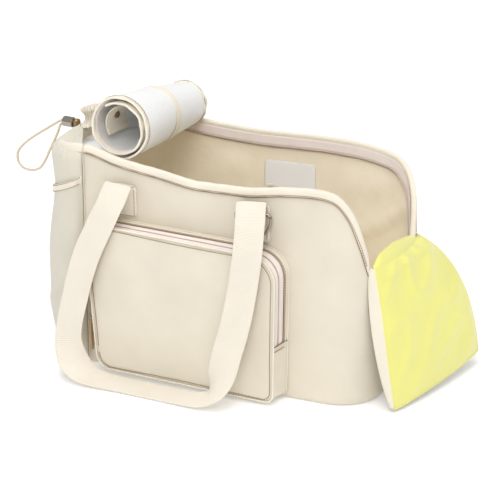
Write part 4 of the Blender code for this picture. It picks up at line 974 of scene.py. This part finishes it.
def build_closed_end():
    first, last = back(LEFT_SEAM - 0.0015), PERIMETER + LEFT_SEAM - 0.0015
    places = [(s, (s - first) / (last - first)) for s in spread(first, last, 0.0028)]
    heights = [0.005 + (0.2785 - 0.005) * (k / 34) for k in range(35)]
    rows = [[at_wall(s, z, pouch_out(share, z)) for s, share in places] for z in heights]
    shoulder = rows[-1]
    for t in (k / 8 for k in range(1, 9)):
        row = []
        for p, (s, share) in zip(shoulder, places):
            turn = math.radians(85 + 190 * share)
            ring = NECK_MIDDLE + Vector((0.0105 * math.cos(turn), 0.028 * math.sin(turn), 0))
            flat = Vector((p.x, p.y, 0)).lerp(Vector((ring.x, ring.y, 0)), t)
            z = p.z + (ring.z - p.z) * (0.35 * t + 0.65 * t * t) + 0.0030 * arch(t, 1.0)
            z += 0.0013 * math.sin(share * math.pi * GATHERS) * arch(min(t, 0.9), 0.6)
            row.append(Vector((flat.x, flat.y, z)))
        rows.append(row)
    pouch = grid("pouch_cloth_painted_shade", rows, SHELL_PAINTED_SHADE, thick=0.0008, stands_for=("drawstring_pouch",))
    neck_rows = []
    for z, grow, lift in ((0.2900, 1.12, 0.0), (0.2945, 0.85, 0.0), (0.2985, 0.62, 0.0), (0.3035, 0.66, 0.2),
                          (0.3080, 0.84, 0.5), (0.3125, 1.0, 1.0)):
        row = []
        for turn in around(96):
            fold = 1 + 0.16 * math.sin(turn * NECK_FOLDS) * (0.5 + 0.5 * lift)
            row.append(Vector((-0.1972 + 0.0100 * grow * fold * math.cos(turn),
                               -0.013 + 0.024 * grow * fold * math.sin(turn),
                               z + 0.0012 * lift * math.sin(turn * NECK_FOLDS + 1.0))))
        neck_rows.append(row)
    grid("neck_cloth", neck_rows, TRIM, loop_u=True, thick=0.0007, stands_for=("gathered_neck",))

    def hem_top(share):
        return HEM_MIDDLE_Z + HEM_SIDE_RISE * (1 - arch(share, 0.8))

    def hem_foot(share):
        return hem_top(share) - HEM_HEIGHT

    def pocket_stand(share, z):
        sag = 0.0026 * crumple(share * 0.27, z, 4.6, 0.060) ** 2 * ease(z, 0.02, 0.06)
        return 0.0004 + (0.0018 + sag) * ease(min(share, 1 - share), 0.0, 0.03)

    def tape_stand(share, z):
        return 0.0006 + 0.0030 * ease(min(share, 1 - share), 0.0, 0.03)

    def layer(name, low, high, stand, count, finish, node_name):
        """A layer of cloth on the pouch, between two heights that vary round it."""
        sheets = []
        for k in range(count + 1):
            row = []
            for s, share in places:
                z = low(share) + (high(share) - low(share)) * k / count
                row.append(at_wall(s, z, pouch_out(share, z) + stand(share, z)))
            sheets.append(row)
        return grid(name, sheets, finish, thick=0.0012, stands_for=(node_name,))

    slip = layer("slip_pocket_cloth", lambda share: 0.0052, lambda share: hem_foot(share) + 0.001, pocket_stand, 30,
                 SHELL_PAINTED_SHADE, "end_pocket")
    layer("slip_pocket_tape", hem_foot, hem_top, tape_stand, 4, TRIM, "end_pocket_hem")
    lines = []
    for drop in (0.0012, 0.0088):
        levels = [hem_top(share) - drop for _, share in places]
        lines.append([at_wall(s, z, pouch_out(share, z) + 0.0036) for (s, share), z in zip(places, levels)])
    stitches("slip_pocket_stitching", lines)
    for k, s in enumerate((first - 0.0012, last + 0.0012)):
        seam = [at_wall(s, 0.008 + 0.266 * n / 60, 0.0005) for n in range(61)]
        tube(f"side_seam_{k}", seam, 0.0005, TRIM)


def build_drawcord():
    curve = bpy.data.curves.new("drawcord_line", "CURVE")
    curve.dimensions = "3D"
    curve.bevel_depth = CORD_RADIUS
    curve.bevel_resolution = 3
    curve.use_fill_caps = True
    points = smooth_points(CORD_ROUTE, 3)
    spline = curve.splines.new("POLY")
    spline.points.add(len(points) - 1)
    for place, point in zip(spline.points, points):
        place.co = (*point, 1.0)
    curve.materials.append(CORD)
    obj = in_scene("drawcord_line", curve)
    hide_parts("drawcord")
    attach(obj, "tub")


# ---- inside ----

def build_inside():
    rows = []
    for share, z in ((0.0, 0.0066), (0.0, 0.0110), (0.0, 0.0155), (0.02, 0.0185), (0.05, 0.0196), (0.12, 0.0200),
                     (0.25, 0.0201), (0.45, 0.0200), (0.65, 0.0201), (0.85, 0.0200), (0.97, 0.0200)):
        row = []
        for s in spread(0.0, PERIMETER, 0.012)[:-1]:
            edge = at_wall(s, z, -0.0130)
            at = edge.lerp(Vector((0, 0, z)), share)
            quilt = 0.0006 * (math.cos(at.x * math.pi / 0.045) * math.cos(at.y * math.pi / 0.045))
            quilt *= ease(share, 0.02, 0.1)
            row.append(Vector((at.x, at.y, z + quilt * 0.5 - 0.0004)))
        rows.append(row)
    mat = grid("mat_pad", rows, LINING, "base_mat", loop_u=True, caps=True, stands_for=("base_mat",))
    low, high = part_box("care_label")
    label_rows = []
    for k in range(7):
        z = high[2] + (low[2] - high[2]) * k / 6
        row = []
        for i in range(9):
            x = low[0] + (high[0] - low[0]) * i / 8
            s = back(x)
            curl = 0.0015 * ease(k / 6, 0.4, 1.0) * (0.5 + 0.5 * cloth_noise(x, 0, 1.4, 0.03, 1))
            row.append(at_wall(s, z, lining_out(s, z) - 0.0009 - curl))
        label_rows.append(row)
    label = grid("label_cloth", label_rows, LABEL, thick=0.0003, stands_for=("care_label",))
    low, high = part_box("tether_tab")
    x, y = (low[0] + high[0]) / 2, (low[1] + high[1]) / 2
    path = [Vector((x, y, low[2] + (high[2] - low[2]) * k / 4)) for k in range(5)]
    strap("tether_web", path, [Vector((1, 0, 0))] * 5, 0.018, 0.0014, WEBBING, stands_for=("tether_tab",))


# ---- carried-over CAD nodes ----

def dress_cad():
    finishes = {
        "pocket_slider": NICKEL, "cord_lock_barrel": NICKEL, "cord_lock_plunger": BRASS, "cover_snap": BRASS,
        "cover_slider_front": NICKEL, "cover_slider_back": NICKEL, "pocket_pull_tab": LEATHER, "base_board": BOARD,
    }
    for name, finish in finishes.items():
        nodes[name].data.materials.clear()
        nodes[name].data.materials.append(finish)
        if "slider" in name or "pull_tab" in name:
            round_edges = nodes[name].modifiers.new("edges", "BEVEL")
            round_edges.width = 0.0005
            round_edges.segments = 3


# ---- stage ----

def build_stage():
    scene = bpy.context.scene
    mesh = bpy.data.meshes.new("floor")
    mesh.from_pydata([(-6, -6, 0), (6, -6, 0), (6, 6, 0), (-6, 6, 0)], [], [(0, 1, 2, 3)])
    finish, tree, main, at = shader("floor_white", (0.93, 0.93, 0.93), 0.6)
    # Painted light: the floor glows as well as taking the lamps' light, weaker within about 0.35 to 0.95 m of the bag
    # so its shadows show
    main.inputs["Emission Color"].default_value = (1, 1, 1, 1)
    reach = node(tree, "ShaderNodeVectorMath", operation="LENGTH")
    tree.links.new(at["Object"], reach.inputs[0])
    glow = node(tree, "ShaderNodeMapRange", From_Min=0.35, From_Max=0.95, To_Min=0.20, To_Max=0.38)
    tree.links.new(reach.outputs["Value"], glow.inputs["Value"])
    tree.links.new(glow.outputs["Result"], main.inputs["Emission Strength"])
    mesh.materials.append(finish)
    in_scene("floor", mesh)
    world = bpy.data.worlds.new("studio")
    world.use_nodes = True
    light = world.node_tree.nodes["Background"].inputs
    light["Color"].default_value, light["Strength"].default_value = (1, 1, 1, 1), WORLD_LIGHT
    scene.world = world
    scene.view_settings.view_transform = "Standard"
    for name, place, size, power in LIGHTS:
        data = bpy.data.lights.new(name, "AREA")
        data.size, data.energy = size, power
        lamp = in_scene(name, data)
        lamp.location = place
        lamp.rotation_euler = (LIT_POINT - Vector(place)).to_track_quat("-Z", "Y").to_euler()
    data = bpy.data.cameras.new("camera")
    data.lens, data.sensor_width = CAMERA_LENS, 36.0
    scene.camera = in_scene("camera", data)
    turn, dip = math.radians(CAMERA_TURN), math.radians(CAMERA_DIP)
    forward = Vector((-math.sin(turn) * math.cos(dip), math.cos(turn) * math.cos(dip), -math.sin(dip)))
    scene.camera.location = CAMERA_PLACE
    scene.camera.rotation_euler = forward.to_track_quat("-Z", "Y").to_euler()


build_stage()
build_drawcord()
build_shell()
build_lining()
build_binding()
build_main_zip()
build_pocket()
build_webbing()
build_rings()
build_flap()
build_cover()
build_closed_end()
build_inside()
dress_cad()
